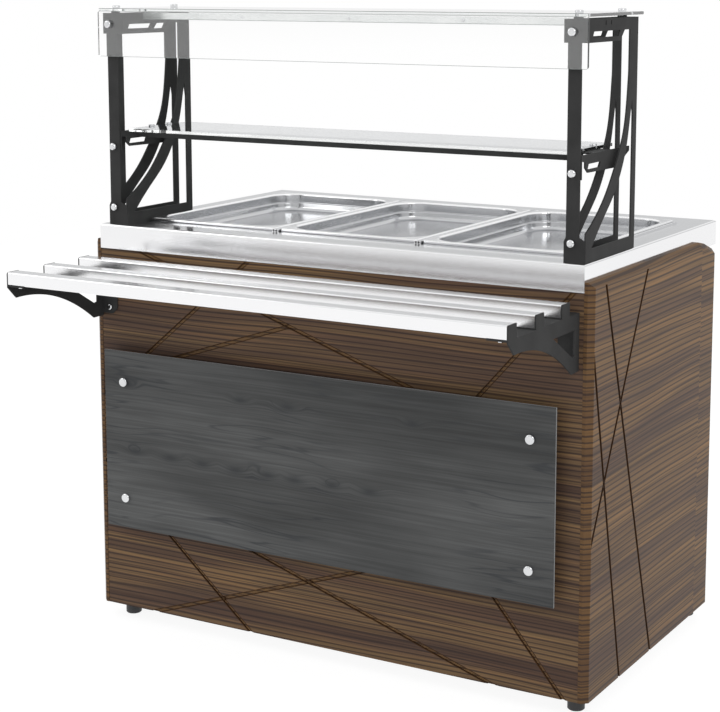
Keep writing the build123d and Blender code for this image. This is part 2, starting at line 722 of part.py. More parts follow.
def make_tray_rail(index):
    """Stainless tube lying on the bracket flanges between the tabs."""
    y0 = RAIL_FRONTS[index]
    x0 = BRACKET_LEFT + BRACKET_SHEET
    x1 = BRACKET_RIGHT - BRACKET_SHEET
    z0 = TRAY_LEVEL
    z1 = z0 + RAIL_TUBE_HEIGHT
    y1 = y0 + RAIL_TUBE_WIDTH
    outer = block(x0, x1, y0, y1, z0, z1)
    outer = fillet(outer.edges().filter_by(Axis.X), 2.5)
    wall = RAIL_TUBE_WALL
    inner = block(x0, x1, y0 + wall, y1 - wall, z0 + wall, z1 - wall)
    tube = outer - fillet(inner.edges().filter_by(Axis.X), 1.0)
    for right in (False, True):
        x, y = rail_screw_points(right)[index]
        tube -= rod_z(x, y, z0 - 1, z0 + 5, 5.4)
    return tube


def make_tray_screws():
    """Screws up into the rails and screws into the front board."""
    screws = []
    head = 4.0
    low = TRAY_LEVEL - BRACKET_SHEET
    for right in (False, True):
        for x, y in rail_screw_points(right):
            screw = rod_z(x, y, low - head, low, 10.0) + rod_z(x, y, low - 1, TRAY_LEVEL + 8, 5.0)
            screws.append(screw)
        for x, z in wall_screw_points(right):
            face = CLAD_FACE - BRACKET_SHEET
            screws.append(dome_y(x, face, z, 12.0, 5.0) + rod_y(x, face - 1, CLAD_FACE - 0.2, z, 6.0))
    return joined(screws)


# End frames


def both_frames(x):
    """The same x on the right frame and on the left frame."""
    return [x, x - FRAME_PITCH]


def frame_bolt_points():
    return [(x, y) for x in both_frames(FRAME_RIGHT - SOLE_BOLT_LINE) for y in SOLE_BOLT_ROWS]


def button_points():
    return [(x, y) for x in both_frames(FRAME_RIGHT - BUTTON_LINE) for y in BUTTON_ROWS]


def keyhole_rows():
    return (CHANNEL_FRONT + 7, CHANNEL_FRONT + CHANNEL_DEPTH - 8)


def curved_cut(x0, curve, straight):
    """Cutter through one plate, bounded by a smooth curve and straight sides."""
    under = Spline([(x0 - 1, y, z) for y, z in curve])
    sides = Polyline([(x0 - 1, y, z) for y, z in [curve[-1]] + straight + [curve[0]]])
    face = make_face([*under.edges(), *sides.edges()])
    return extrude(face, FRAME_SHEET + 2, dir=(1, 0, 0))


def frame_plate(x0, front_bar):
    """One cut plate of an end frame, standing on z 0."""
    x1 = x0 + FRAME_SHEET
    plate = block(x0, x1, FRAME_FRONT, FRAME_BACK, 0, FRAME_HEIGHT)
    high = SLOT_HIGH
    member = MEMBER_FRONT
    rear = REAR_BAR_FRONT
    upper_curve = [(member, FRAME_HEIGHT - 103), (member - 5, FRAME_HEIGHT - 146), (member - 20, 232),
                   (member - 64, 162), (99, 112), (62, 83), (0, 48)]
    upper_sides = [(0, BEAM_LOW), (member - 48, BEAM_LOW), (member - 27, high), (member, high)]
    opening = curved_cut(x0, upper_curve, upper_sides)
    if front_bar:
        opening -= block(x0 - 2, x1 + 2, -10, FRAME_FRONT + FRONT_BAR, 0, FRAME_HEIGHT)
    strut_back = [(rear - 5, FRAME_HEIGHT - 155), (rear - 19, 230), (rear - 31, 194), (rear - 56, 150),
                  (143, 114), (106, 83), (60, 44), (41, SOLE_HEIGHT)]
    window = curved_cut(x0, strut_back, [(rear, SOLE_HEIGHT), (rear, FRAME_HEIGHT - 183)])
    slot = profile_yz([(37, high), (member - 48, high), (member - 56, SLOT_LOW), (31, SLOT_LOW)],
                      x0 - 1, x1 + 1)
    plate = plate - opening - window - slot
    for y in keyhole_rows():
        plate -= block(x0 - 1, x1 + 1, y - 2, y + 2, FRAME_HEIGHT - 12, FRAME_HEIGHT - 4)
    return plate


def frame_flange(extra):
    """Front flange: wide base, narrow post, wide head; extra widens base and head to the right."""
    right = FRAME_RIGHT + extra
    left = FRAME_RIGHT - FLANGE_LEFT - 2
    post_left = FRAME_RIGHT - POST_FACE_LEFT
    post_right = post_left + POST_FACE_WIDTH
    outline = [(left, 0), (right, 0), (right, 39), (post_right, 47), (post_right, BEAM_LOW),
               (right, BEAM_LOW), (right, FRAME_HEIGHT), (left - 4, FRAME_HEIGHT), (left - 4, BEAM_LOW),
               (post_left, BEAM_LOW), (post_left, 47), (left, 39)]
    points = [(x, FRAME_FRONT + FRAME_SHEET, z) for x, z in outline]
    return extrude(make_face(Polyline(points, close=True)), FRAME_SHEET, dir=(0, -1, 0))


def make_end_frame(right):
    """Two cut plates on a sole, with a front flange and two tabs on top."""
    extra = 0.0 if right else LEFT_FRAME_EXTRA
    sheet = FRAME_SHEET
    near = FRAME_RIGHT + extra - sheet
    far = FRAME_RIGHT - sheet - FRAME_PLATE_GAP
    inner = far + sheet
    back = FRAME_FRONT + sheet
    frame = frame_plate(near, False) + frame_plate(far, True) + frame_flange(extra)
    frame += block(inner, near, back, FRAME_BACK, 0, sheet)
    for y0, y1 in ((back, back + 30), (MEMBER_FRONT + 6, FRAME_BACK)):
        frame += block(inner, near, y0, y1, FRAME_HEIGHT - sheet, FRAME_HEIGHT)
    for z in BOLT_HEIGHTS:
        frame -= rod_y(FRAME_RIGHT - BOLT_LINE, 0, 30, z, BOLT_DIAMETER + 2 * SEAT_GAP)
    for y in SOLE_BOLT_ROWS:
        frame -= rod_z(FRAME_RIGHT - SOLE_BOLT_LINE, y, -1, sheet + 1, BOLT_DIAMETER + 2 * SEAT_GAP)
    for y in BUTTON_ROWS:
        frame -= rod_z(FRAME_RIGHT - BUTTON_LINE, y, FRAME_HEIGHT - 6, FRAME_HEIGHT + 1,
                       BOLT_DIAMETER + 2 * SEAT_GAP)
    return Pos(0 if right else -FRAME_PITCH, 0, TOP_HEIGHT) * frame


def make_sole_bolts():
    """Bolts down through the soles and the worktop into nuts inside the side rails."""
    bolts = []
    sole_top = TOP_HEIGHT + FRAME_SHEET
    nut_top = INNER_TOP - POST_WALL
    for x, y in frame_bolt_points():
        bolt = rod_z(x, y, sole_top, sole_top + 5, 11.0)
        bolt += rod_z(x, y, nut_top - 5, sole_top + 1, BOLT_DIAMETER)
        bolts.append(bolt + rod_z(x, y, nut_top - 5, nut_top, 11.0))
    return joined(bolts)


def make_flange_bolts():
    """Domed bolts of the front flanges; the upper ones also hold the visor."""
    bolts = []
    flange_back = FRAME_FRONT + FRAME_SHEET
    for x in both_frames(FRAME_RIGHT - BOLT_LINE):
        for z in BOLT_HEIGHTS:
            top = z == BOLT_HEIGHTS[-1]
            middle = z == BOLT_HEIGHTS[1]
            face = visor_front() if top else FRAME_FRONT
            nut = flange_back + ARM_SHEET if middle else flange_back
            level = TOP_HEIGHT + z
            bolt = dome_y(x, face, level, NUT_DIAMETER, 7.0 if top else NUT_HEIGHT)
            bolt += rod_y(x, face - 1, nut + 4, level, BOLT_DIAMETER)
            bolts.append(bolt + rod_y(x, nut, nut + 4, level, 9.0))
    return joined(bolts)


# Glass


def visor_front():
    return FRAME_FRONT - PAD - GLASS


def make_roof_glass():
    glass = block(GLASS_LEFT, GLASS_RIGHT, visor_front(), ROOF_BACK, GLASS_UNDER, GLASS_UNDER + GLASS)
    glass = fillet(glass.edges().filter_by(Axis.Z), 4.0)
    glass = chamfer(glass.edges().filter_by_position(Axis.Z, GLASS_UNDER + GLASS, GLASS_UNDER + GLASS), 0.8)
    for x, y in button_points():
        glass -= rod_z(x, y, GLASS_UNDER - 1, GLASS_UNDER + GLASS + 1, BOLT_DIAMETER + 1)
    return glass


def make_visor_glass():
    top = GLASS_UNDER - SEAT_GAP
    y0 = visor_front()
    glass = block(GLASS_LEFT, GLASS_RIGHT, y0, y0 + GLASS, top - VISOR_HEIGHT, top)
    glass = fillet(glass.edges().filter_by(Axis.Y), 3.0)
    for x in both_frames(FRAME_RIGHT - BOLT_LINE):
        glass -= rod_y(x, y0 - 1, y0 + GLASS + 1, TOP_HEIGHT + BOLT_HEIGHTS[-1], BOLT_DIAMETER + 1)
    return glass


def shelf_left():
    return LEFT_INNER + 2.0


def shelf_right():
    return FRAME_RIGHT - FRAME_SHEET - FRAME_PLATE_GAP - 2.0


def shelf_button_points():
    xs = (shelf_left() + 9, shelf_right() - 9)
    return [(x, y) for x in xs for y in (90.0, 150.0)]


def make_shelf_glass():
    glass = block(shelf_left(), shelf_right(), SHELF_FRONT, SHELF_BACK, SHELF_Z, SHELF_Z + SHELF_GLASS)
    glass = fillet(glass.edges().filter_by(Axis.Z), 4.0)
    for x, y in shelf_button_points():
        glass -= rod_z(x, y, SHELF_Z - 1, SHELF_Z + SHELF_GLASS + 1, 6.0)
    return glass


def make_shelf_arm(right):
    """Arm between the plates of an end frame, bolted behind the flange, its top turned inwards."""
    x0 = FRAME_RIGHT - 15.0 if right else FRAME_RIGHT - FRAME_PITCH - 15.0
    back = FRAME_FRONT + FRAME_SHEET
    top = SHELF_Z
    low = top - ARM_DROP
    outline = [(back, top), (back, top - 10), (34, low + 22), (34, low + 12), (47, low + 2), (180, low),
               (FRAME_BACK - 4, top - 9), (FRAME_BACK - 4, top)]
    arm = profile_yz(outline, x0, x0 + ARM_SHEET)
    arm -= profile_yz([(45, low + 8), (100, low + 8), (105, low + 18), (50, low + 18)], x0 - 1, x0 + 9)
    tab_x = FRAME_RIGHT - FRAME_PLATE_GAP + 1.0
    if not right:
        tab_x -= FRAME_PITCH
    arm += block(tab_x, x0 + ARM_SHEET, back, back + ARM_SHEET, TOP_HEIGHT + BOLT_HEIGHTS[1] - 12, top)
    reach = shelf_right() - 18 if right else shelf_left() + 18
    start = x0 + ARM_SHEET if right else x0
    arm += block(start, reach, 76, 162, top - ARM_SHEET, top)
    bolt_x = both_frames(FRAME_RIGHT - BOLT_LINE)[0 if right else 1]
    arm -= rod_y(bolt_x, 10, 30, TOP_HEIGHT + BOLT_HEIGHTS[1], BOLT_DIAMETER + 2 * SEAT_GAP)
    for x, y in shelf_button_points():
        arm -= rod_z(x, y, top - 6, top + 1, 5.6)
    return arm


def make_shelf_rail():
    """Black bar under the front of the shelf, held by the two arms."""
    z1 = SHELF_Z - SEAT_GAP
    y0 = SHELF_FRONT + 40.0
    rail = block(shelf_left(), shelf_right(), y0, y0 + 12, z1 - SHELF_RAIL_HEIGHT, z1)
    rail = fillet(rail.edges().filter_by(Axis.X), 1.5)
    for x0, x1 in ((shelf_left(), shelf_left() + 16), (shelf_right() - 16, shelf_right())):
        rail += block(x0, x1, y0 + 6, y0 + 24, z1 - 9, SHELF_Z - ARM_SHEET)
    return rail


def make_glass_buttons():
    """Domed buttons through the roof glass and the shelf glass with their nuts."""
    buttons = []
    for x, y in button_points():
        top = GLASS_UNDER + GLASS
        nut_top = FRAME_TOP - FRAME_SHEET
        button = dome_z(x, y, top, NUT_DIAMETER, 6.0) + rod_z(x, y, nut_top - 4, top + 1, BOLT_DIAMETER)
        buttons.append(button + rod_z(x, y, nut_top - 4, nut_top, 10.0))
    for x, y in shelf_button_points():
        top = SHELF_Z + SHELF_GLASS
        nut_top = SHELF_Z - ARM_SHEET
        button = dome_z(x, y, top, BUTTON_DIAMETER, 4.0) + rod_z(x, y, nut_top - 4, top + 1, 5.0)
        buttons.append(button + rod_z(x, y, nut_top - 4, nut_top, 9.0))
    return joined(buttons)


def make_glass_pads():
    """Soft washers between glass and frames."""
    pads = []
    hole = BOLT_DIAMETER + 2 * SEAT_GAP
    for x, y in button_points():
        pads.append(rod_z(x, y, FRAME_TOP, GLASS_UNDER, 18.0) - rod_z(x, y, FRAME_TOP, GLASS_UNDER, hole))
    y0 = visor_front() + GLASS
    z = TOP_HEIGHT + BOLT_HEIGHTS[-1]
    for x in both_frames(FRAME_RIGHT - BOLT_LINE):
        pads.append(rod_y(x, y0, FRAME_FRONT, z, 18.0) - rod_y(x, y0, FRAME_FRONT, z, hole))
    return joined(pads)


# Light channel


def channel_ends():
    return LEFT_INNER, FRAME_RIGHT - FRAME_SHEET - FRAME_PLATE_GAP


def make_light_channel():
    """Folded channel open below, with closed ends fixed to the frame plates."""
    x0, x1 = channel_ends()
    y0 = CHANNEL_FRONT
    y1 = y0 + CHANNEL_DEPTH
    wall = CHANNEL_SHEET
    low = FRAME_TOP - CHANNEL_HEIGHT
    channel = block(x0, x1, y0, y1, low, FRAME_TOP)
    channel -= block(x0 + wall, x1 - wall, y0 + wall, y1 - wall, low - 1, FRAME_TOP - wall)
    for y in keyhole_rows():
        channel -= rod_x(x0 - 1, x0 + 3, y, FRAME_TOP - 8, 3.4)
        channel -= rod_x(x1 - 3, x1 + 1, y, FRAME_TOP - 8, 3.4)
    for x in channel_screw_rows():
        channel -= rod_y(x, y0 - 1, y0 + 3, FRAME_TOP - CHANNEL_HEIGHT / 2, 3.4)
    return channel


def channel_screw_rows():
    x0, x1 = channel_ends()
    return [x0 + (x1 - x0) * part / 4 for part in (1, 2, 3)]


def make_light_strip():
    x0, x1 = channel_ends()
    middle = CHANNEL_FRONT + CHANNEL_DEPTH / 2
    z1 = FRAME_TOP - CHANNEL_SHEET
    strip = block(x0 + 12, x1 - 12, middle - 7, middle + 7, z1 - 1.6, z1)
    count = 16
    pitch = (x1 - x0 - 60) / (count - 1)
    for index in range(count):
        x = x0 + 30 + pitch * index
        strip += block(x - 3, x + 3, middle - 3, middle + 3, z1 - 3.0, z1 - 1)
    return strip


def make_diffuser():
    x0, x1 = channel_ends()
    fit = CHANNEL_SHEET + SEAT_GAP
    low = FRAME_TOP - CHANNEL_HEIGHT
    return block(x0 + fit, x1 - fit, CHANNEL_FRONT + fit, CHANNEL_FRONT + CHANNEL_DEPTH - fit,
                 low + 0.5, low + 2.5)


def make_channel_screws():
    screws = []
    x0, x1 = channel_ends()
    z = FRAME_TOP - 8
    for y in keyhole_rows():
        face = x0 - FRAME_SHEET
        screws.append(rod_x(face - 2.5, face, y, z, 6.5) + rod_x(face - 1, x0 + 4, y, z, 2.8))
        face = x1 + FRAME_SHEET
        screws.append(rod_x(face, face + 2.5, y, z, 6.5) + rod_x(x1 - 4, face + 1, y, z, 2.8))
    z = FRAME_TOP - CHANNEL_HEIGHT / 2
    for x in channel_screw_rows():
        screws.append(dome_y(x, CHANNEL_FRONT, z, 6.5, 2.0) + rod_y(x, CHANNEL_FRONT - 1,
                                                                   CHANNEL_FRONT + 4, z, 2.8))
    return joined(screws)


# Operator side


CONTROL_Z = FASCIA_BOTTOM + (FASCIA_TOP - FASCIA_BOTTOM) / 2
KNOB_X = 560.0
ROCKER_XS = (440.0, 380.0)
LAMP_XS = (485.0, 335.0)
ROCKER_WIDTH = 18.0
ROCKER_RADIUS = 11.5
ROCKER_FACE = 6.5
ROCKER_TILT = 8.0
HOUSING_WIDTH = 24.0
HOUSING_HEIGHT = 32.0
HOUSING_DEPTH = 24.0
BEZEL = 2.5
PIN_DIAMETER = 3.0
LAMP_DIAMETER = 10.0
GLAND_X = 160.0
EARTH_X = 110.0


def fascia_face():
    return POST_BACK + FASCIA_SHEET


def pivot_y():
    return fascia_face() - 3.0


def make_fascia():
    y0 = POST_BACK
    y1 = fascia_face()
    panel = block(BACKER, TOP_LENGTH - BACKER, y0, y1, FASCIA_BOTTOM, FASCIA_TOP)
    fold = block(BACKER + POST_WIDTH, TOP_LENGTH - BACKER - POST_WIDTH, y0 - 18, y1,
                 FASCIA_BOTTOM, FASCIA_BOTTOM + FASCIA_SHEET)
    panel += fold
    panel -= rod_y(KNOB_X, y0 - 1, y1 + 1, CONTROL_Z, SHAFT_DIAMETER + 4)
    for x in ROCKER_XS:
        half = HOUSING_WIDTH / 2 + SEAT_GAP
        tall = HOUSING_HEIGHT / 2 + SEAT_GAP
        panel -= block(x - half, x + half, y0 - 1, y1 + 1, CONTROL_Z - tall, CONTROL_Z + tall)
    for x in LAMP_XS:
        panel -= rod_y(x, y0 - 1, y1 + 1, CONTROL_Z, LAMP_DIAMETER + 2 * SEAT_GAP)
    panel -= rod_y(GLAND_X, y0 - 1, y1 + 1, CONTROL_Z, 16.0 + 2 * SEAT_GAP)
    panel -= rod_y(EARTH_X, y0 - 1, y1 + 1, CONTROL_Z, 6.0 + 2 * SEAT_GAP)
    for x, z in fascia_screw_points():
        panel -= rod_y(x, y0 - 1, y1 + 1, z, 4.6)
    return panel


def fascia_screw_points():
    xs = (BACKER + POST_WIDTH / 2, TOP_LENGTH - BACKER - POST_WIDTH / 2)
    return [(x, z) for x in xs for z in (FASCIA_BOTTOM + 20, FASCIA_TOP - 20)]


def make_fascia_screws():
    screws = []
    y1 = fascia_face()
    for x, z in fascia_screw_points():
        screws.append(rod_y(x, y1, y1 + 3, z, 8.0) + rod_y(x, POST_BACK + 0.2, y1 + 1, z, 4.0))
    return joined(screws)


def make_thermostat_body():
    """Thermostat box behind the fascia with its shaft pointing at the operator."""
    body = block(KNOB_X - 24, KNOB_X + 24, POST_BACK - 34, POST_BACK, CONTROL_Z - 22, CONTROL_Z + 22)
    body = fillet(body.edges().filter_by(Axis.Y), 4.0)
    shaft_end = fascia_face() + 14.0
    body += rod_y(KNOB_X, POST_BACK - 1, shaft_end, CONTROL_Z, SHAFT_DIAMETER)
    return body


def make_knob():
    """Round knob with a raised grip across it and a pointer ridge at the top."""
    face = fascia_face() + SLIDE_GAP
    skirt = rod_y(KNOB_X, face, face + 6, CONTROL_Z, KNOB_DIAMETER)
    skirt = chamfer(skirt.edges().filter_by(GeomType.CIRCLE).sort_by(Axis.Y)[-1], 2.0)
    grip = block(KNOB_X - 6, KNOB_X + 6, face + 5, face + KNOB_HEIGHT,
                 CONTROL_Z - KNOB_DIAMETER / 2 + 3, CONTROL_Z + KNOB_DIAMETER / 2 - 3)
    grip = fillet(grip.edges().filter_by_position(Axis.Y, face + KNOB_HEIGHT, face + KNOB_HEIGHT), 3.0)
    knob = skirt + grip
    knob += block(KNOB_X - 1, KNOB_X + 1, face + KNOB_HEIGHT - 1, face + KNOB_HEIGHT + 0.8,
                  CONTROL_Z + 4, CONTROL_Z + KNOB_DIAMETER / 2 - 7)
    bore_end = fascia_face() + 15.0
    return knob - rod_y(KNOB_X, face - 1, bore_end, CONTROL_Z, SHAFT_DIAMETER + 2 * SHAFT_GAP)


def make_rocker(index):
    """Rocker key: round back turning on pins, two flat halves in front, resting switched off."""
    x = ROCKER_XS[index]
    y = pivot_y()
    half = ROCKER_WIDTH / 2 - SEAT_GAP
    key = rod_x(x - half, x + half, y, CONTROL_Z, 2 * ROCKER_RADIUS)
    for side in (-1, 1):
        cutter = block(x - 20, x + 20, ROCKER_FACE, 40, -30, 30)
        cutter = Rot(side * ROCKER_TILT, 0, 0) * cutter
        key -= Pos(0, y, CONTROL_Z) * cutter
    key -= block(x - 20, x + 20, y - 30, y - 3, CONTROL_Z - 20, CONTROL_Z + 20)
    pin_end = ROCKER_WIDTH / 2 + 1.5
    key += rod_x(x - pin_end, x + pin_end, y, CONTROL_Z, PIN_DIAMETER)
    turn = Pos(0, y, CONTROL_Z) * Rot(ROCKER_TILT, 0, 0) * Pos(0, -y, -CONTROL_Z)
    return turn * key


def make_switch_housings():
    """Snap-in housings of the two rocker switches with a cylindrical seat for each key."""
    housings = []
    y1 = fascia_face()
    y = pivot_y()
    for x in ROCKER_XS:
        half = HOUSING_WIDTH / 2
        tall = HOUSING_HEIGHT / 2
        box = block(x - half, x + half, y1 - HOUSING_DEPTH, y1 + BEZEL, CONTROL_Z - tall, CONTROL_Z + tall)
        bezel = block(x - half - 2, x + half + 2, y1, y1 + BEZEL, CONTROL_Z - tall - 2, CONTROL_Z + tall + 2)
        box += bezel
        seat = ROCKER_WIDTH / 2
        box -= rod_x(x - seat, x + seat, y, CONTROL_Z, 2 * ROCKER_RADIUS + 1.2)
        box -= block(x - seat, x + seat, y, y1 + BEZEL + 1, CONTROL_Z - ROCKER_RADIUS - 0.6,
                     CONTROL_Z + ROCKER_RADIUS + 0.6)
        box -= rod_x(x - seat - 2, x + seat + 2, y, CONTROL_Z, PIN_DIAMETER + 2 * SHAFT_GAP)
        for z in (CONTROL_Z - 8, CONTROL_Z + 8):
            box += block(x - 3, x + 3, y1 - HOUSING_DEPTH - 8, y1 - HOUSING_DEPTH, z - 0.4, z + 0.4)
        housings.append(box)
    return joined(housings)


def make_pilot_lamps():
    lamps = []
    y1 = fascia_face()
    for x in LAMP_XS:
        lamp = rod_y(x, POST_BACK - 20, y1 + 1, CONTROL_Z, LAMP_DIAMETER)
        lens = rod_y(x, y1, y1 + 5, CONTROL_Z, LAMP_DIAMETER + 3)
        rim = lens.edges().filter_by(GeomType.CIRCLE).sort_by(Axis.Y)[-1]
        lamps.append(lamp + fillet(rim, 2.5))
    return joined(lamps)


def make_cable_gland():
    """Inlet gland only: hexagonal body, domed nut, lock nut behind the fascia."""
    y1 = fascia_face()
    hexagon = RegularPolygon(12.0, 6)
    body = Pos(GLAND_X, y1 + 6, CONTROL_Z) * Rot(90, 0, 0) * extrude(hexagon, 6)
    nut = rod_y(GLAND_X, y1 + 6, y1 + 20, CONTROL_Z, 20.0)
    rim = nut.edges().filter_by(GeomType.CIRCLE).sort_by(Axis.Y)[-1]
    gland = body + fillet(rim, 4.0)
    gland += rod_y(GLAND_X, POST_BACK - 10, y1 + 1, CONTROL_Z, 16.0)
    gland += rod_y(GLAND_X, POST_BACK - 5, POST_BACK, CONTROL_Z, 22.0)
    return gland - rod_y(GLAND_X, POST_BACK - 12, y1 + 22, CONTROL_Z, 9.0)


def make_earth_bolt():
    y1 = fascia_face()
    bolt = rod_y(EARTH_X, POST_BACK - 8, y1 + 14, CONTROL_Z, 6.0)
    bolt += rod_y(EARTH_X, y1, y1 + 4.5, CONTROL_Z, 11.0)
    return bolt + rod_y(EARTH_X, POST_BACK - 4, POST_BACK, CONTROL_Z, 11.0)


NODES = {
    "tube_frame": make_tube_frame(),
    "post_plugs": make_post_plugs(),
    "foot_front_left": make_foot(0),
    "foot_back_left": make_foot(1),
    "foot_front_right": make_foot(2),
    "foot_back_right": make_foot(3),
    "front_board": make_front_board(),
    "side_board_left": make_side_board(False),
    "side_board_right": make_side_board(True),
    "battens": make_battens(),
    "bay_shelf": make_bay_shelf(),
    "bay_liners": make_bay_liners(),
    "accent_panel": make_accent_panel(),
    "panel_spacers": make_spacers(),
    "panel_caps": make_caps(),
    "worktop": make_worktop(),
    "pan_left": make_pan(0),
    "pan_middle": make_pan(1),
    "pan_right": make_pan(2),
    "divider_left": make_divider(0),
    "divider_right": make_divider(1),
    "edge_strip": make_edge_strip(),
    "water_bath": make_water_bath(),
    "heating_element": make_heating_element(),
    "element_flange": make_element_flange(),
    "element_supports": make_element_supports(),
    "false_bottom": make_false_bottom(),
    "drain_pipe": make_drain_pipe(),
    "valve_body": make_valve_body(),
    "valve_lever": make_valve_lever(),
    "tray_bracket_left": make_tray_bracket(False),
    "tray_bracket_right": make_tray_bracket(True),
    "tray_rail_front": make_tray_rail(0),
    "tray_rail_middle": make_tray_rail(1),
    "tray_rail_back": make_tray_rail(2),
    "tray_screws": make_tray_screws(),
    "end_frame_left": make_end_frame(False),
    "end_frame_right": make_end_frame(True),
    "frame_bolts": joined([make_sole_bolts(), make_flange_bolts()]),
    "roof_glass": make_roof_glass(),
    "visor_glass": make_visor_glass(),
    "shelf_glass": make_shelf_glass(),
    "shelf_arm_left": make_shelf_arm(False),
    "shelf_arm_right": make_shelf_arm(True),
    "shelf_rail": make_shelf_rail(),
    "glass_buttons": make_glass_buttons(),
    "glass_pads": make_glass_pads(),
    "light_channel": make_light_channel(),
    "light_strip": make_light_strip(),
    "diffuser": make_diffuser(),
    "control_fascia": make_fascia(),
    "small_screws": joined([make_channel_screws(), make_fascia_screws()]),
    "thermostat_body": make_thermostat_body(),
    "thermostat_knob": make_knob(),
    "switch_housings": make_switch_housings(),
    "rocker_heat": make_rocker(0),
    "rocker_light": make_rocker(1),
    "pilot_lamps": make_pilot_lamps(),
    "cable_gland": make_cable_gland(),
    "earth_bolt": make_earth_bolt(),
}

os.makedirs("parts", exist_ok=True)
for name, shape in NODES.items():
    placed = Pos(-TOP_LENGTH / 2, -(RAIL_FIRST + TOP_DEPTH) / 2, 0) * shape
    export_step(placed, os.path.join("parts", name + ".step"))
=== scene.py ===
# %% [markdown]
# # A heated serving counter, dressed for its portrait
#
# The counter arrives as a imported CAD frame: every board, tube, pan, plate and bolt already stands
# at its real size and place. This lesson adds what the eye wants: a finish for every piece, softly
# drawn pans, the thin lines that grooves and glass edges show, soft light, and a camera at the
# photograph's angle.

# %% Load the frame
import json
import math

import bmesh
import bpy
from mathutils import Matrix, Vector


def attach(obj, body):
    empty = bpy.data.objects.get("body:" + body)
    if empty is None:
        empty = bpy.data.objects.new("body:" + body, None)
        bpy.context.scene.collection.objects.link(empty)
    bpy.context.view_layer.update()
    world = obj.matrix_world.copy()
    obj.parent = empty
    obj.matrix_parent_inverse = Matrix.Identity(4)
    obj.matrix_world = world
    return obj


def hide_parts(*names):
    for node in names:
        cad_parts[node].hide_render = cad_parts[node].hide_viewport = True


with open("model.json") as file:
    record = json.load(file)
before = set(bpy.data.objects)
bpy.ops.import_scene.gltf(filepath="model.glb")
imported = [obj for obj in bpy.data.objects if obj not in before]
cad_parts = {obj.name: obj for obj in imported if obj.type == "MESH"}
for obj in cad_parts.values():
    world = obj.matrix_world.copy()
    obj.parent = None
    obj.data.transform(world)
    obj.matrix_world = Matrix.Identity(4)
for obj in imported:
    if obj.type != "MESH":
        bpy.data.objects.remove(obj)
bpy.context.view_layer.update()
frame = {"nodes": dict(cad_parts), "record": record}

nodes = frame["nodes"]
MM = 0.001
print("frame holds", len(nodes), "CAD nodes")

# %% [markdown]
# ## Helpers for colours and shader nodes
#
# Colours are read off the photograph as sRGB hex values, but shaders count in linear light, so one
# function turns the one into the other. `add` adds a shader node, sets it and links it. The others
# are short names for the nodes that come back again and again. Patterns are laid out in Object
# coordinates, which are metres, so a scale of 100 draws about 100 lines or grains to the metre.


# %% Colour and node helpers
def linear(hex_colour):
    """sRGB hex such as '#8a7a66' as an opaque linear colour."""
    parts = [int(hex_colour[i:i + 2], 16) / 255 for i in (1, 3, 5)]
    return tuple(c / 12.92 if c <= 0.04045 else ((c + 0.055) / 1.055) ** 2.4 for c in parts) + (1.0,)


def link(material, source, target):
    material.node_tree.links.new(source, target)


def add(material, kind, inputs=None, **settings):
    """Adds a shader node: plain values are set on its sockets, and sockets are linked to them."""
    made = material.node_tree.nodes.new(kind)
    for name, value in settings.items():
        setattr(made, name, value)
    for socket, value in (inputs or {}).items():
        if isinstance(value, bpy.types.NodeSocket):
            link(material, value, made.inputs[socket])
        else:
            made.inputs[socket].default_value = value
    return made


def new_material(name, **principled):
    """An empty material with a Principled shader whose plain numbers are set on its own sockets."""
    material = bpy.data.materials.new(name)
    material.use_nodes = True
    shader = material.node_tree.nodes["Principled BSDF"]
    for socket, value in principled.items():
        shader.inputs[socket.replace("_", " ")].default_value = value
    return material, shader


def calculate(material, operation, *values):
    """The result of one arithmetic node."""
    return add(material, "ShaderNodeMath", dict(enumerate(values)), operation=operation).outputs[0]


def remap(material, value, source, target=(0.0, 1.0), smooth=False):
    """A value carried from one (low, high) span to another, evenly or as a smooth step."""
    spans = {"From Min": source[0], "From Max": source[1], "To Min": target[0], "To Max": target[1]}
    made = add(material, "ShaderNodeMapRange", {"Value": value, **spans},
               interpolation_type="SMOOTHSTEP" if smooth else "LINEAR")
    return made.outputs["Result"]


def object_space(material, scale=(1, 1, 1), move=(0, 0, 0)):
    """Object coordinates in metres, stretched and then moved."""
    coords = add(material, "ShaderNodeTexCoord").outputs["Object"]
    mapping = add(material, "ShaderNodeMapping", {"Vector": coords, "Location": move, "Scale": scale})
    return mapping.outputs["Vector"]


def coordinate(material, axis):
    """One object coordinate, in metres."""
    return add(material, "ShaderNodeSeparateXYZ", {"Vector": object_space(material)}).outputs[axis]


def upwards(material, amount):
    """A vector that points up by an amount."""
    return add(material, "ShaderNodeCombineXYZ", {"Z": amount}).outputs[0]


def shifted(material, coords, push):
    """The sum of two vectors."""
    return add(material, "ShaderNodeVectorMath", {0: coords, 1: push}, operation="ADD").outputs[0]


def noise(material, coords, detail=2.0, roughness=0.5):
    """A noise of about one blotch to each unit of its coordinates."""
    made = add(material, "ShaderNodeTexNoise", {"Vector": coords, "Scale": 1.0, "Detail": detail,
                                                "Roughness": roughness})
    return made.outputs["Fac"]


def ramp(material, factor, stops):
    """A colour ramp through (position, hex colour) stops."""
    made = add(material, "ShaderNodeValToRGB", {"Fac": factor})
    first, last = made.color_ramp.elements
    first.position, first.color = stops[0][0], linear(stops[0][1])
    last.position, last.color = stops[-1][0], linear(stops[-1][1])
    for position, colour in stops[1:-1]:
        made.color_ramp.elements.new(position).color = linear(colour)
    return made.outputs["Color"]


def mix_colour(material, factor, first, second, blend="MIX"):
    """Two colours, given as hex or as sockets, mixed by a factor."""
    made = add(material, "ShaderNodeMix", {0: factor}, data_type="RGBA", blend_type=blend)
    for slot_index, value in ((6, first), (7, second)):
        if isinstance(value, str):
            made.inputs[slot_index].default_value = linear(value)
        else:
            link(material, value, made.inputs[slot_index])
    return made.outputs[2]


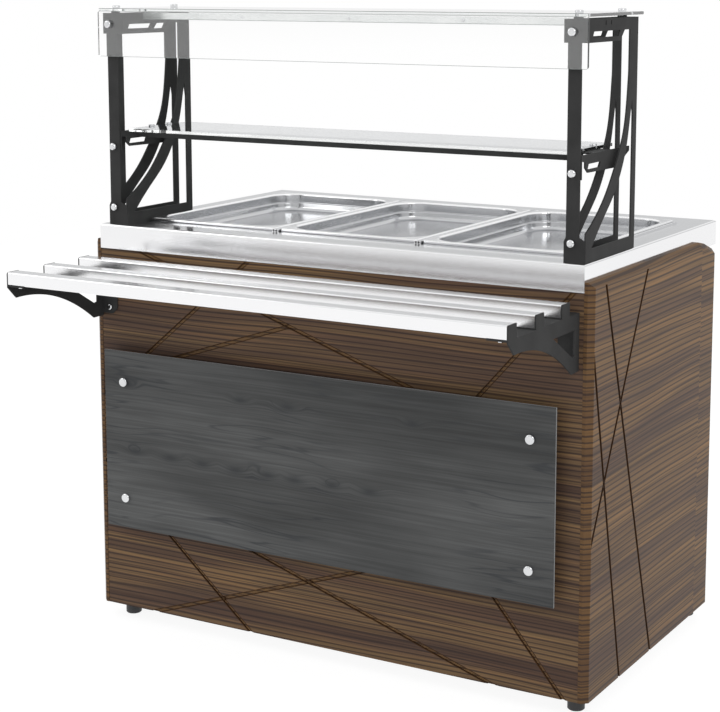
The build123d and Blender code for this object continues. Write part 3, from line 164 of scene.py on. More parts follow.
def bump(material, shader, height, strength, distance_mm):
    """Gives the shader a relief from a height."""
    made = add(material, "ShaderNodeBump", {"Height": height, "Strength": strength,
                                            "Distance": distance_mm * MM})
    link(material, made.outputs["Normal"], shader.inputs["Normal"])


def any_ray(material, *kinds):
    """1 when the traced ray is of one of these kinds, such as Camera or Shadow."""
    path = add(material, "ShaderNodeLightPath")
    found = path.outputs[f"Is {kinds[0]} Ray"]
    for kind in kinds[1:]:
        found = calculate(material, "MAXIMUM", found, path.outputs[f"Is {kind} Ray"])
    return found


print("helpers ready")

# %% [markdown]
# ## Camera
#
# The camera was fitted to the corners and feet of the counter in the photograph. It stands to the
# right and a little above the roof glass, with a long lens. The picture reaches further down from
# the lens axis than up, so the camera's frame is shifted down instead of the camera being tilted
# more, and uprights stay nearly upright.

# %% Camera at the photograph's angle
EYE = Vector((1.845, -3.170, 1.395))
YAW_DEG = 29.94
PITCH_DEG = -8.54
IMAGE_WIDTH = 720
IMAGE_HEIGHT = 712
FOCAL_PX = 1785.0
AXIS_X_PX = 383.5
AXIS_Y_PX = 244.8
SENSOR_MM = 36.0

lens = bpy.data.cameras.new("photo_camera")
lens.sensor_width = SENSOR_MM
lens.lens = FOCAL_PX / IMAGE_WIDTH * SENSOR_MM
lens.shift_x = (IMAGE_WIDTH / 2 - AXIS_X_PX) / IMAGE_WIDTH
lens.shift_y = (AXIS_Y_PX - IMAGE_HEIGHT / 2) / IMAGE_WIDTH
camera = bpy.data.objects.new("photo_camera", lens)
camera.location = EYE
camera.rotation_euler = (math.radians(90 + PITCH_DEG), 0, math.radians(YAW_DEG))
bpy.context.scene.collection.objects.link(camera)
bpy.context.scene.camera = camera
print("lens", round(lens.lens, 2), "mm, shift", round(lens.shift_x, 4), round(lens.shift_y, 4))

# %% [markdown]
# ## World
#
# A product shot on white: the world lights the counter evenly at a plain level, and the background
# is pure white, also through glass. Only mirrored rays meet a surround with some grey in it, darkest
# about 9 degrees above the horizon and a little grey straight overhead, so that polished sheet has
# something to draw its soft gradients from.

# %% White studio
DIFFUSE_LEVEL = 0.84
SURROUND = ((0.48, "#ffffff"), (0.51, "#f4f4f4"), (0.545, "#e2e3e4"), (0.58, "#bdbebf"),
            (0.68, "#ffffff"), (0.97, "#ffffff"), (1.0, "#e4e4e4"))

world = bpy.data.worlds.new("white_studio")
bpy.context.scene.world = world
world.use_nodes = True
background = world.node_tree.nodes["Background"]
direction = add(world, "ShaderNodeTexCoord")
direction = add(world, "ShaderNodeSeparateXYZ", {"Vector": direction.outputs["Generated"]})
surround = ramp(world, remap(world, direction.outputs["Z"], (-1.0, 1.0)), SURROUND)
mirrored = mix_colour(world, any_ray(world, "Glossy"), "#ffffff", surround)
seen = any_ray(world, "Camera", "Glossy", "Transmission")
link(world, mirrored, background.inputs["Color"])
link(world, remap(world, seen, (0.0, 1.0), (DIFFUSE_LEVEL, 1.0)), background.inputs["Strength"])
bpy.context.scene.view_settings.view_transform = "Standard"
print("world strength for diffuse light", DIFFUSE_LEVEL)

# %% [markdown]
# ## Softboxes
#
# Two broad lamps model the shapes: the stronger one stands at the right and gives the bevels and
# nuts their glints, and a weaker one fills from the left.


# %% Softboxes
def softbox(name, where, target, width, height, watts):
    """A rectangular lamp standing somewhere and facing a target."""
    lamp = bpy.data.lights.new(name, "AREA")
    lamp.shape = "RECTANGLE"
    lamp.size, lamp.size_y = width, height
    lamp.energy = watts
    made = bpy.data.objects.new(name, lamp)
    made.location = where
    made.rotation_euler = (Vector(target) - Vector(where)).to_track_quat("-Z", "Y").to_euler()
    bpy.context.scene.collection.objects.link(made)


softbox("key_box", (3.6, -2.6, 3.4), (0, 0, 0.8), width=2.6, height=1.8, watts=46)
softbox("left_box", (-3.4, -3.2, 2.6), (0, 0, 0.6), width=2.0, height=1.6, watts=22)
print("two softboxes")

# %% [markdown]
# ## Floor
#
# The floor is plain white paint. The camera sees it lifted towards pure white, so that it melts
# into the background, while the rest of its look is really lit and keeps the soft shadow of the
# feet.

# %% Floor
FLOOR_HALF = 4.5
FLOOR_GLOW = 1.12
FLOOR_LIFT = 0.8

floor_shape = bmesh.new()
bmesh.ops.create_grid(floor_shape, x_segments=1, y_segments=1, size=FLOOR_HALF)
floor_mesh = bpy.data.meshes.new("floor")
floor_shape.to_mesh(floor_mesh)
floor_shape.free()
floor = bpy.data.objects.new("floor", floor_mesh)
bpy.context.scene.collection.objects.link(floor)
floor_paint, floor_shader = new_material("white_floor", Base_Color=linear("#f2f2f2"), Roughness=0.9)
glow = add(floor_paint, "ShaderNodeEmission", {"Color": linear("#ffffff"), "Strength": FLOOR_GLOW})
lift = calculate(floor_paint, "MULTIPLY", any_ray(floor_paint, "Camera", "Glossy", "Transmission"),
                 FLOOR_LIFT)
mixed = add(floor_paint, "ShaderNodeMixShader", {0: lift, 1: floor_shader.outputs[0],
                                                 2: glow.outputs[0]})
link(floor_paint, mixed.outputs[0], floor_paint.node_tree.nodes["Material Output"].inputs["Surface"])
floor.data.materials.append(floor_paint)
print("floor", 2 * FLOOR_HALF, "m square")

# %% [markdown]
# ## Striped laminate of the body
#
# The body is board pressed with a thin printed film: long lines run level round the whole counter,
# dark lines over bands of tan and grey brown, never quite straight. A pattern that is stretched some
# thirty times more along the wall than up it draws such bands. The dark lines are a wave texture
# that noise pushes about, which gives them an uneven pitch round 11 mm, as veins in zebrano have.
# Grooves and bevels cut through the film and show a browner tone; on the sides that tone is also
# darker, painted shade on the bevel of the front edge.


# %% Striped laminate
LINES_PER_M = 92.0
HAIRLINES_PER_M = 170.0
HAIR_PATCHES_PER_M = 40.0
FINE_PER_M = 260.0
BANDS_PER_M = 26.0
# The bands of a Wave texture repeat at this step of its coordinates.
WAVE_PERIOD = math.pi / 10
# A line is full dark below the first level of the wave and gone above the second.
LINE_EDGES = (0.06, 0.34)
# How strongly each layer shows, from 0 to 1.
STREAK_SHARE = 0.55
VEIN_SHARE = 0.8
HAIR_SHARE = 0.55
CUT_SHARE = 0.62
CUT_FROM_MM = 0.3
CUT_FULL_MM = 1.2
# The step between two sheets of film, in the patterns' own coordinates.
SHEET_JUMP = 0.42
DARK_LINE = "#352b28"
FILM_STREAKS = ((0.32, "#5c5a58"), (0.5, "#808080"), (0.68, "#b0a694"))
FACE_TONES = ((0.30, "#5c483e"), (0.42, "#6a5446"), (0.50, "#7b624b"), (0.58, "#886e51"),
              (0.70, "#685243"))
SIDE_TONES = ((0.30, "#654e40"), (0.42, "#725946"), (0.50, "#826548"), (0.58, "#90704d"),
              (0.70, "#6f5743"))


def stretched_noise(material, across_per_m, along_per_m, seed, detail=2.0, roughness=0.5, warp=None):
    """Noise in long level lines: fine up the wall, slow along it."""
    coords = object_space(material, (along_per_m, along_per_m, across_per_m),
                          (seed, seed * 0.7, seed * 1.3))
    if warp is not None:
        coords = shifted(material, coords, warp)
    return noise(material, coords, detail, roughness)


def wander(material, amount, along_per_m, seed):
    """A slow up-and-down shift of the lines, as a vector along z."""
    wave = noise(material, object_space(material, (along_per_m, along_per_m, 5.0), (seed, 3.1, seed)), 1.0)
    centred = calculate(material, "SUBTRACT", wave, 0.5)
    return upwards(material, calculate(material, "MULTIPLY", centred, amount))


def printed_lines(material, per_m, along, seed, waver, warp):
    """Level dark lines at a fairly even pitch: 1 in a line, 0 between two lines."""
    coords = object_space(material, (along, along, per_m * WAVE_PERIOD), (seed, seed * 0.6, seed * 1.7))
    wave = add(material, "ShaderNodeTexWave", {
        "Vector": shifted(material, coords, warp), "Scale": 1.0, "Distortion": waver, "Detail": 1.5,
        "Detail Scale": 1.3}, bands_direction="Z")
    return remap(material, wave.outputs["Fac"], LINE_EDGES, (1.0, 0.0), smooth=True)


def milled_depth(material, axis, face):
    """1 where the board is milled or bevelled below its film, 0 on the film; face is in metres."""
    out = calculate(material, "ABSOLUTE", coordinate(material, axis))
    return remap(material, out, (face - CUT_FULL_MM * MM, face - CUT_FROM_MM * MM), (1.0, 0.0))


def striped_laminate(name, seed, tones, along, axis, face, cut_tone_and_shade, jump_behind=None):
    """Pressed film over board: satin, printed with level zebra lines.

    along is how quickly a line changes along its length; axis and face say where the film lies, so
    that grooves and bevels show the cut_tone_and_shade; behind jump_behind, in metres, the next sheet of film
    starts and the lines step up.
    """
    material, shader = new_material(name, Roughness=0.45, Specular_IOR_Level=0.12, IOR=1.5)
    drift = wander(material, amount=0.8, along_per_m=1.6, seed=seed)
    if jump_behind is not None:
        behind = calculate(material, "GREATER_THAN", coordinate(material, "Y"), jump_behind)
        jump = calculate(material, "MULTIPLY", behind, SHEET_JUMP)
        drift = shifted(material, drift, upwards(material, jump))
    tone = ramp(material, stretched_noise(material, BANDS_PER_M, along, seed, 2.5, warp=drift), tones)
    streaks = stretched_noise(material, FINE_PER_M, 3.0, seed + 4, warp=drift)
    streaks = ramp(material, streaks, FILM_STREAKS)
    tone = mix_colour(material, STREAK_SHARE, tone, streaks, "OVERLAY")
    milled = calculate(material, "MULTIPLY", milled_depth(material, axis, face), CUT_SHARE)
    tone = mix_colour(material, milled, tone, cut_tone_and_shade)
    veins = printed_lines(material, LINES_PER_M, along * 0.7, seed + 9, waver=4.5, warp=drift)
    veins = calculate(material, "MULTIPLY", veins, VEIN_SHARE)
    hairs = printed_lines(material, HAIRLINES_PER_M, along, seed + 15, waver=5.0, warp=drift)
    patches = stretched_noise(material, HAIR_PATCHES_PER_M, along * 1.5, seed + 21, 1.0, warp=drift)
    patches = remap(material, patches, (0.46, 0.60), (0.0, HAIR_SHARE))
    hairs = calculate(material, "MULTIPLY", hairs, patches)
    dark = calculate(material, "MAXIMUM", veins, hairs)
    link(material, mix_colour(material, dark, tone, DARK_LINE), shader.inputs["Base Color"])
    bump(material, shader, streaks, strength=0.05, distance_mm=0.4)
    return material


# How far the film lies from the middle of the counter, and where a side's second sheet starts.
FRONT_FILM_Y = 0.203
SIDE_FILM_X = 0.578
FILM_SEAM_Y = 0.371

face_laminate = striped_laminate("pressed_zebrano_film_front", 2.0, FACE_TONES, 1.0, "Y",
                                 FRONT_FILM_Y, "#80623f")
# The side's cut tone is the board below the film and also painted shade on the front bevel.
side_laminate = striped_laminate("pressed_zebrano_film_side", 5.0, SIDE_TONES, 0.8, "X",
                                 SIDE_FILM_X, "#60472e", FILM_SEAM_Y)
print("laminate lines about", round(1000 / LINES_PER_M, 1), "mm apart")

# %% [markdown]
# ## Stainless steel
#
# Four finishes of the same metal. The worktop and the rails are brushed sheet: the belt leaves fine
# parallel scratches along the length, which stretch every reflection across them. The pans are deep
# drawn and come out smooth and bright; their rims are painted paler than their walls, a painted
# highlight. The sheet inside the body is dull satin.


# %% Brushed and drawn steel
# A scratch is this many times longer than it is wide.
SCRATCH_LENGTH = 60.0
CLOUDS_PER_M = 4
PAN_RIM_LEVEL = 0.8795


def brushed_steel(name, colour, roughness, grain_mm, along=(1, 0, 0), depth=0.02, wear=0.03):
    """Steel with scratches along one axis; grain_mm is drawn coarser than real so that it shows."""
    material, shader = new_material(name, Metallic=1.0, Base_Color=linear(colour))
    fine = 1000.0 / grain_mm
    scale = tuple(fine / SCRATCH_LENGTH if part else fine for part in along)
    grain = noise(material, object_space(material, scale), roughness=0.6)
    cloud = noise(material, object_space(material, (CLOUDS_PER_M,) * 3))
    worn = remap(material, cloud, (0.3, 0.7), (roughness - wear, roughness + wear))
    link(material, worn, shader.inputs["Roughness"])
    bump(material, shader, grain, depth, distance_mm=0.2)
    return material


def paint_highlight_above(material, level, low_colour, high_colour):
    """Painted highlight on a rim: the metal is painted paler above a level, in metres over the floor."""
    over = remap(material, coordinate(material, "Z"), (level - 1.5 * MM, level))
    shader = material.node_tree.nodes["Principled BSDF"]
    link(material, mix_colour(material, over, low_colour, high_colour), shader.inputs["Base Color"])


steel_top = brushed_steel("brushed_stainless_worktop", "#f0f0f1", 0.14, 1.2, depth=0.004, wear=0.006)
steel_rail = brushed_steel("brushed_stainless_rail", "#f3f3f4", 0.19, 1.2)
steel_pan = brushed_steel("drawn_stainless_pan", "#ececee", 0.15, 2.5, along=(0, 0, 1), depth=0.03)
# The pans are painted paler above the rim level and darker below it: a painted highlight on the rims.
paint_highlight_above(steel_pan, PAN_RIM_LEVEL, "#c6c7c9", "#f6f6f7")
steel_inner = brushed_steel("satin_stainless_inside", "#b9babb", 0.34, 1.5)
print("four steels")

# %% [markdown]
# ## Grey wood-grain panel
#
# The front panel is melamine printed as grey pine: a calm mid grey with level streaks, cloudy darker
# zones and a few knots round which the grain swings. Each knot is a soft spot at a place in metres;
# near it the streaks are pushed up, so the lines part and close again. The cut edges of the panel
# are paler than its face.

# %% Grey wood grain
# Each knot's x, z and radius in metres.
KNOTS = ((-0.471, 0.540, 0.006), (-0.184, 0.540, 0.006), (-0.069, 0.539, 0.007), (0.218, 0.541, 0.006),
         (-0.456, 0.396, 0.007), (-0.364, 0.394, 0.008), (-0.281, 0.392, 0.007), (-0.198, 0.391, 0.008),
         (-0.119, 0.391, 0.007), (-0.054, 0.390, 0.008), (0.035, 0.392, 0.007), (0.122, 0.391, 0.008))
# A knot's length over its height, and how many radii it takes to fade.
KNOT_LENGTH = 2.6
KNOT_FADE = 3.0
GREY_TONES = ((0.30, "#4a4b4b"), (0.46, "#555656"), (0.56, "#5d5e5e"), (0.70, "#676868"))
GREY_STREAKS = ((0.32, "#545454"), (0.5, "#808080"), (0.68, "#a8a8a8"))
GREY_STREAK_SHARE = 0.5
FIGURE_WIDTH = 0.022
FIGURE_SHARE = 0.7
HEART_SHARE = 0.8
FIGURE_GREY = "#35373a"
HEART_GREY = "#36383a"
EDGE_GREY = "#8e8f90"


def knot(material, x, z, radius):
    """1 at a knot's middle, fading to 0 well outside it; a knot is longer than it is high."""
    wide = radius * KNOT_LENGTH
    coords = object_space(material, (1 / wide, 0, 1 / radius), (-x / wide, 0, -z / radius))
    away = add(material, "ShaderNodeVectorMath", {0: coords}, operation="LENGTH").outputs["Value"]
    return remap(material, away, (0.0, KNOT_FADE), (1.0, 0.0), smooth=True)


def crossing(material, factor, width):
    """1 where a noise crosses its middle value, fading to 0 at the given distance from it."""
    away = calculate(material, "ABSOLUTE", calculate(material, "SUBTRACT", factor, 0.5))
    return remap(material, away, (0.0, width), (1.0, 0.0), smooth=True)


def grey_grain(name):
    """Printed grey pine under a satin melamine skin."""
    material, shader = new_material(name, Roughness=0.45, Specular_IOR_Level=0.15, IOR=1.5)
    knots = knot(material, *KNOTS[0])
    for place_and_size in KNOTS[1:]:
        knots = calculate(material, "MAXIMUM", knots, knot(material, *place_and_size))
    drift = wander(material, amount=1.4, along_per_m=3.0, seed=8.0)

    def swung(amount):
        """The drift with a further push up near the knots."""
        return shifted(material, drift, upwards(material, calculate(material, "MULTIPLY", knots, amount)))

    clouds = stretched_noise(material, across_per_m=9.0, along_per_m=2.2, seed=3.0, detail=3.0)
    tone = ramp(material, clouds, GREY_TONES)
    streaks = stretched_noise(material, across_per_m=210.0, along_per_m=3.0, seed=7.0, detail=4.0,
                              roughness=0.6, warp=swung(2.2))
    streaks = ramp(material, streaks, GREY_STREAKS)
    tone = mix_colour(material, GREY_STREAK_SHARE, tone, streaks, "OVERLAY")
    figure = stretched_noise(material, across_per_m=30.0, along_per_m=1.8, seed=12.0, detail=2.5,
                             warp=swung(0.7))
    patches = stretched_noise(material, across_per_m=6.0, along_per_m=3.0, seed=21.0, detail=1.0)
    patches = remap(material, patches, (0.42, 0.58))
    figure = calculate(material, "MULTIPLY", crossing(material, figure, FIGURE_WIDTH), patches)
    figure = calculate(material, "MULTIPLY", figure, FIGURE_SHARE)
    colour = mix_colour(material, figure, tone, FIGURE_GREY)
    heart = calculate(material, "MULTIPLY", calculate(material, "POWER", knots, 3.0), HEART_SHARE)
    colour = mix_colour(material, heart, colour, HEART_GREY)
    facing = add(material, "ShaderNodeTexCoord").outputs["Normal"]
    facing = add(material, "ShaderNodeSeparateXYZ", {"Vector": facing}).outputs["Y"]
    edge = remap(material, calculate(material, "ABSOLUTE", facing), (0.5, 0.9), (1.0, 0.0))
    link(material, mix_colour(material, edge, colour, EDGE_GREY), shader.inputs["Base Color"])
    bump(material, shader, streaks, strength=0.08, distance_mm=0.5)
    return material


grey_panel = grey_grain("grey_pine_melamine")
print(len(KNOTS), "knots on the grey panel")

# %% [markdown]
# ## Coatings, plastics and small metals
#
# Powder coat is a baked polymer with a faint orange peel: matt, dark grey rather than black.
# Moulded plastics, board, lamp lenses and small metal parts share that build with other colours,
# grains and shader numbers. All of them are one function: a base colour that wanders slightly and a
# relief of a real grain size.


# %% Grained coatings and plastics
BLOTCHES_PER_M = 18


def grained(name, dark, light, roughness, grain_mm, depth=0.1, **principled):
    """A skin whose colour drifts between two near tones, with a fine moulded or baked grain."""
    material, shader = new_material(name, Roughness=roughness, **principled)
    drift = noise(material, object_space(material, (BLOTCHES_PER_M,) * 3), detail=3.0)
    link(material, ramp(material, drift, [(0.35, dark), (0.65, light)]), shader.inputs["Base Color"])
    grain = noise(material, object_space(material, (1000.0 / grain_mm,) * 3))
    bump(material, shader, grain, depth, distance_mm=0.3)
    return material


black_coat = grained("dark_powder_coat", "#343434", "#3a3a3a", 0.55, 1.6, 0.08, Specular_IOR_Level=0.06)
black_plastic = grained("black_nylon", "#1f1f20", "#29292a", 0.45, 0.9, 0.12)
foot_plastic = grained("foot_polyamide", "#29292a", "#343435", 0.5, 1.2, 0.15)
pad_rubber = grained("soft_washer_rubber", "#1b1b1b", "#242424", 0.8, 0.8, 0.2)
channel_coat = grained("pale_channel_coat", "#eeefef", "#f6f6f6", 0.22, 1.6, 0.03, Metallic=0.75)
raw_board = grained("raw_particle_board", "#9b8464", "#b59c78", 0.85, 2.2, 0.5)
lamp_white = grained("white_lamp_board", "#e8e8e2", "#f2f2ec", 0.5, 1.0, 0.05)
diffuser = grained("frosted_acrylic", "#eceeee", "#f6f7f7", 0.35, 1.5, 0.03, Subsurface_Weight=0.2)
rocker_red = grained("red_rocker_key", "#9c1512", "#b01a16", 0.22, 2.0, 0.02, Coat_Weight=0.3)
rocker_green = grained("green_rocker_key", "#1d6b31", "#23793a", 0.22, 2.0, 0.02, Coat_Weight=0.3)
lever_coat = grained("red_lever_dip", "#8f1a17", "#a3211d", 0.38, 1.8, 0.1)
lens_amber = grained("amber_lens", "#c65a1e", "#d96c2a", 0.12, 3.0, 0.02, Transmission_Weight=0.4,
                     Coat_Weight=0.5)
zinc_tube = grained("zinc_flake_tube", "#8d9092", "#a2a5a7", 0.42, 6.0, 0.06, Metallic=0.85)
sheath = grained("scaled_element_sheath", "#5c5550", "#6e665f", 0.38, 3.0, 0.1, Metallic=0.9)
brass = grained("turned_brass", "#a98a48", "#bd9c55", 0.28, 2.0, 0.05, Metallic=1.0)
chrome = grained("polished_button_steel", "#d4d5d7", "#e2e3e4", 0.10, 4.0, 0.01, Metallic=1.0)
print("coatings and plastics ready")

# %% [markdown]
# ## Glass
#
# Toughened float glass: clear across its face, and a little green where the eye looks down its
# length, because the tint is in the volume. Shadow rays and diffuse rays pass through it, so that
# the shelf and the roof don't darken the pans like solid boards. Its index is a little above the
# 1.52 of float glass, which makes its sheen easier to see on white.

# %% Float glass
GLASS_INDEX = 1.58
GLASS_TINT = "#dfe6e3"
GLASS_DENSITY = 1.2
GLASS_SHADE = "#f2f6f4"
MOST_UNEVEN = 0.006


def float_glass(name):
    """Clear glass with a faint green body colour and a barely uneven polish."""
    material, shader = new_material(name, Base_Color=linear("#ffffff"), Roughness=0.0, IOR=GLASS_INDEX,
                                    Transmission_Weight=1.0, Coat_Weight=1.0, Coat_Roughness=0.0)
    wash = noise(material, object_space(material, (3, 3, 3)))
    link(material, remap(material, wash, (0.0, 1.0), (0.0, MOST_UNEVEN)), shader.inputs["Roughness"])
    output = material.node_tree.nodes["Material Output"]
    body = add(material, "ShaderNodeVolumeAbsorption", {"Color": linear(GLASS_TINT),
                                                        "Density": GLASS_DENSITY})
    link(material, body.outputs[0], output.inputs["Volume"])
    clear = add(material, "ShaderNodeBsdfTransparent", {"Color": linear(GLASS_SHADE)})
    both = add(material, "ShaderNodeMixShader", {0: any_ray(material, "Shadow", "Diffuse"),
                                                 1: shader.outputs[0], 2: clear.outputs[0]})
    link(material, both.outputs[0], output.inputs["Surface"])
    return material


glass = float_glass("polished_float_glass")
print("glass ready")

# %% [markdown]
# ## Dress every CAD node
#
# The record says which finish each node was given; this table says what each finish looks like.

# %% Materials by slot
FINISHES = {
    "galvanised_tube": zinc_tube, "black_plastic": black_plastic, "foot_plastic": foot_plastic,
    "wood_laminate": side_laminate, "plain_board": raw_board, "stainless_inner": steel_inner,
    "accent_grey": grey_panel, "chrome_parts": chrome, "stainless_top": steel_top,
    "stainless_pan": steel_pan, "element_sheath": sheath, "brass_parts": brass,
    "lever_red": lever_coat, "black_frame": black_coat, "stainless_tube": steel_rail,
    "clear_glass": glass, "soft_pads": pad_rubber, "channel_white": channel_coat,
    "lamp_white": lamp_white, "diffuser_white": diffuser, "rocker_red": rocker_red,
    "rocker_green": rocker_green, "lamp_lens": lens_amber,
}
for part in frame["record"]["subparts"]:
    mesh = nodes[part["node"]].data
    mesh.materials.clear()
    mesh.materials.append(FINISHES[part["material_slot"]])
nodes["front_board"].data.materials[0] = face_laminate

# %% [markdown]
# ## Small makers
#
# The pieces below are measured like the workshop drawing, in millimetres from the worktop's front
# left corner and up from the floor. `place` turns such a point into the frame's metres, `bar` adds a
# box to a bmesh, `soften` rounds some of its edges or corners, and `keep` turns a finished bmesh
# into a piece that rides on a body of the counter.

# %% Makers
CORNER_X = 560.0
CORNER_Y = 204.0


def place(x, y, z):
    """A workshop point in mm as a frame point in metres."""
    return Vector(((x - CORNER_X) * MM, (y - CORNER_Y) * MM, z * MM))


def bar(shape, middle, size, turn=None):
    """Adds a box with the given middle (workshop mm) and size (mm), turned about its middle."""
    matrix = Matrix.Translation(place(*middle))
    if turn is not None:
        matrix = matrix @ turn
    bmesh.ops.create_cube(shape, size=MM, matrix=matrix @ Matrix.Diagonal((*size, 1.0)))


def soften(shape, geometry, radius, segments, affect="EDGES"):
    """Rounds edges or corners to a radius in mm."""
    bmesh.ops.bevel(shape, geom=geometry, offset=radius * MM, offset_type="OFFSET", segments=segments,
                    profile=0.5, affect=affect, material=-1)


def keep(name, shape, material, body, replaced=(), smooth_deg=None, turned=False):
    """Makes a bmesh a piece of the counter; turned says that its faces already point the right way."""
    if not turned:
        bmesh.ops.recalc_face_normals(shape, faces=shape.faces[:])
    mesh = bpy.data.meshes.new(name)
    shape.to_mesh(mesh)
    shape.free()
    mesh.materials.append(material)
    if smooth_deg is not None:
        mesh.shade_smooth()
        mesh.set_sharp_from_angle(angle=math.radians(smooth_deg))
    piece = bpy.data.objects.new(name, mesh)
    bpy.context.scene.collection.objects.link(piece)
    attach(piece, body)
    if replaced:
        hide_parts(*replaced)
    return piece


print("makers ready")

# %% [markdown]
# ## Pan maker
#
# A gastronorm pan is deep drawn from one sheet: a flat flange whose edges roll over in soft beads, a
# step all round on which a second pan would stack, and drafted walls that melt into the floor. The
# CAD pan has the right sizes but hard edges, and on bright steel the soft beads are what the eye
# sees first. So each pan is rebuilt: three rounded loops are bridged into the rim, and the opening is
# sunk by insets that also go down: wall, ledge, drafted wall. Rounding a loop's corners is a vertex
# bevel; rolling the beads is an edge bevel of whole loops; Solidify gives the sheet its thickness.
# A last narrow inset round the floor keeps its middle flat to the light.

# %% Pan maker
PAN_HALF = (162.5, 265.0)
PAN_MIDDLE_Y = 353.0
PAN_FIRST_X = 225.0
PAN_PITCH = 335.0
PAN_WALL = 1.2
PAN_FLOOR_RIM = 3.0
CORNER_STEPS = 10
BEAD_STEPS = 5
# Each loop of the rim: how far in it lies, its corner radius, its level, and its bead's radius.
PAN_RIM = ((0.0, 8.0, 875.1, 0.0), (0.0, 8.0, 882.0, 3.0), (11.2, 56.8, 882.0, 4.2))
# Each step down into the pan: how far in it goes, how far down, and its bead's radius.
PAN_STEPS = ((0.05, 20.8, 1.6), (4.0, 0.0, 2.0), (2.2, 18.0, 9.0))


def rounded_loop(x, inset, radius, level):
    """A level loop with round corners, as a mesh of edges only."""
    loop = bmesh.new()
    half_x, half_y = PAN_HALF[0] - inset, PAN_HALF[1] - inset
    corners = [loop.verts.new(place(x + sx * half_x, PAN_MIDDLE_Y + sy * half_y, level))
               for sx, sy in ((-1, -1), (1, -1), (1, 1), (-1, 1))]
    loop.faces.new(corners)
    soften(loop, corners, radius, CORNER_STEPS, "VERTICES")
    bmesh.ops.delete(loop, geom=loop.faces[:], context="FACES_ONLY")
    mesh = bpy.data.meshes.new("loop")
    loop.to_mesh(mesh)
    loop.free()
    return mesh


def drawn_pan(name, x):
    """One pan: a bridged rim, a wall, ledge and floor sunk step by step, rolled beads, sheet."""
    shape = bmesh.new()
    rings = []
    for inset, radius, level, bead in PAN_RIM:
        mesh = rounded_loop(x, inset, radius, level)
        known = len(shape.edges)
        shape.from_mesh(mesh)
        shape.edges.ensure_lookup_table()
        rings.append((shape.edges[known:], bead))
        bpy.data.meshes.remove(mesh)
    for (upper, _), (lower, _) in zip(rings, rings[1:]):
        bmesh.ops.bridge_loops(shape, edges=upper + lower)
    base = bmesh.ops.contextual_create(shape, geom=rings[-1][0])["faces"][0]
    bmesh.ops.recalc_face_normals(shape, faces=shape.faces[:])
    if base.normal.z < 0:
        bmesh.ops.reverse_faces(shape, faces=shape.faces[:])
    for aside, drop, bead in PAN_STEPS:
        bmesh.ops.inset_region(shape, faces=[base], thickness=aside * MM, depth=-drop * MM,
                               use_even_offset=True)
        rings.append((list(base.edges), bead))
    for ring, bead in rings:
        if bead:
            soften(shape, ring, bead, BEAD_STEPS)
    base = max(shape.faces, key=lambda face: face.calc_area())
    bmesh.ops.inset_region(shape, faces=[base], thickness=PAN_FLOOR_RIM * MM, use_even_offset=True)
    pan = keep(name + "_drawn", shape, steel_pan, name, replaced=(name,),
               smooth_deg=40, turned=True)
    wall = pan.modifiers.new("sheet", "SOLIDIFY")
    wall.thickness = PAN_WALL * MM
    wall.offset = -1
    return pan


print("pan maker ready")

# %% [markdown]
# ## Three pans
#
# They hang side by side in the well, and each rides on its own body, so that it can be lifted out.

# %% Three pans
for index, name in enumerate(("pan_left", "pan_middle", "pan_right")):
    pan = drawn_pan(name, PAN_FIRST_X + index * PAN_PITCH)
    print(pan.name, len(pan.data.polygons), "faces")

# %% [markdown]
# ## Painted shade in the grooves
#
# The cladding carries long milled lines that cross each other. Each line reads as two thin dark
# edges with the floor of the groove between them: the shade on the groove's two walls, painted as
# dark bars. Each edge is a slim bar hugging one wall of the milled groove, clipped to its board with
# cutting planes.

# %% Painted groove shade
GROOVE_HALF = 4.5
SHADE_WIDTH = 1.7
SHADE_TOP = 0.1
SHADE_LOW = 2.9
FRONT_FACE = 1.0
RIGHT_FACE = 1138.0
LEFT_FACE = -18.0
# The ends of the milled lines: x and z on the front board, y and z on a side board.
FRONT_LINES = (((378, 823), (0, 505)), ((67, 561), (477, 698)), ((80, 831), (870, 565)),
               ((1114, 839), (753, 435)), ((0, 358), (387, 25)), ((97, 25), (874, 292)),
               ((43, 321), (971, 25)), ((753, 435), (1099, 25)))
SIDE_LINES = (((55, 849), (324, 29)), ((277, 849), (2, 330)), ((2, 732), (161, 29)))
# The planes that the bars are cut at: a point on the plane and the direction of what goes.
FRONT_LIMITS = (((0.2, 0, 0), (-1, 0, 0)), ((1119.8, 0, 0), (1, 0, 0)),
                ((0, 0, 35.2), (0, 0, -1)), ((0, 0, 822.8), (0, 0, 1)))
SIDE_LIMITS = (((0, 11.2, 0), (0, -1, 0)), ((0, 650.8, 0), (0, 1, 0)),
               ((0, 0, 35.2), (0, 0, -1)), ((0, 0, 831.8), (0, 0, 1)))

# Painted shade: these dark bars stand for the shade on the walls of the grooves.
groove_shade_paint = grained("painted_groove_shade", "#33200f", "#412a15", 0.6, 1.4, 0.2, Specular_IOR_Level=0.1)


def clip(shape, point, outwards):
    """Cuts off everything beyond a plane and closes the cut."""
    geometry = shape.verts[:] + shape.edges[:] + shape.faces[:]
    cut = bmesh.ops.bisect_plane(shape, geom=geometry, plane_co=point, plane_no=outwards,
                                 clear_outer=True)
    rims = [item for item in cut["geom_cut"] if isinstance(item, bmesh.types.BMEdge)]
    bmesh.ops.holes_fill(shape, edges=rims)


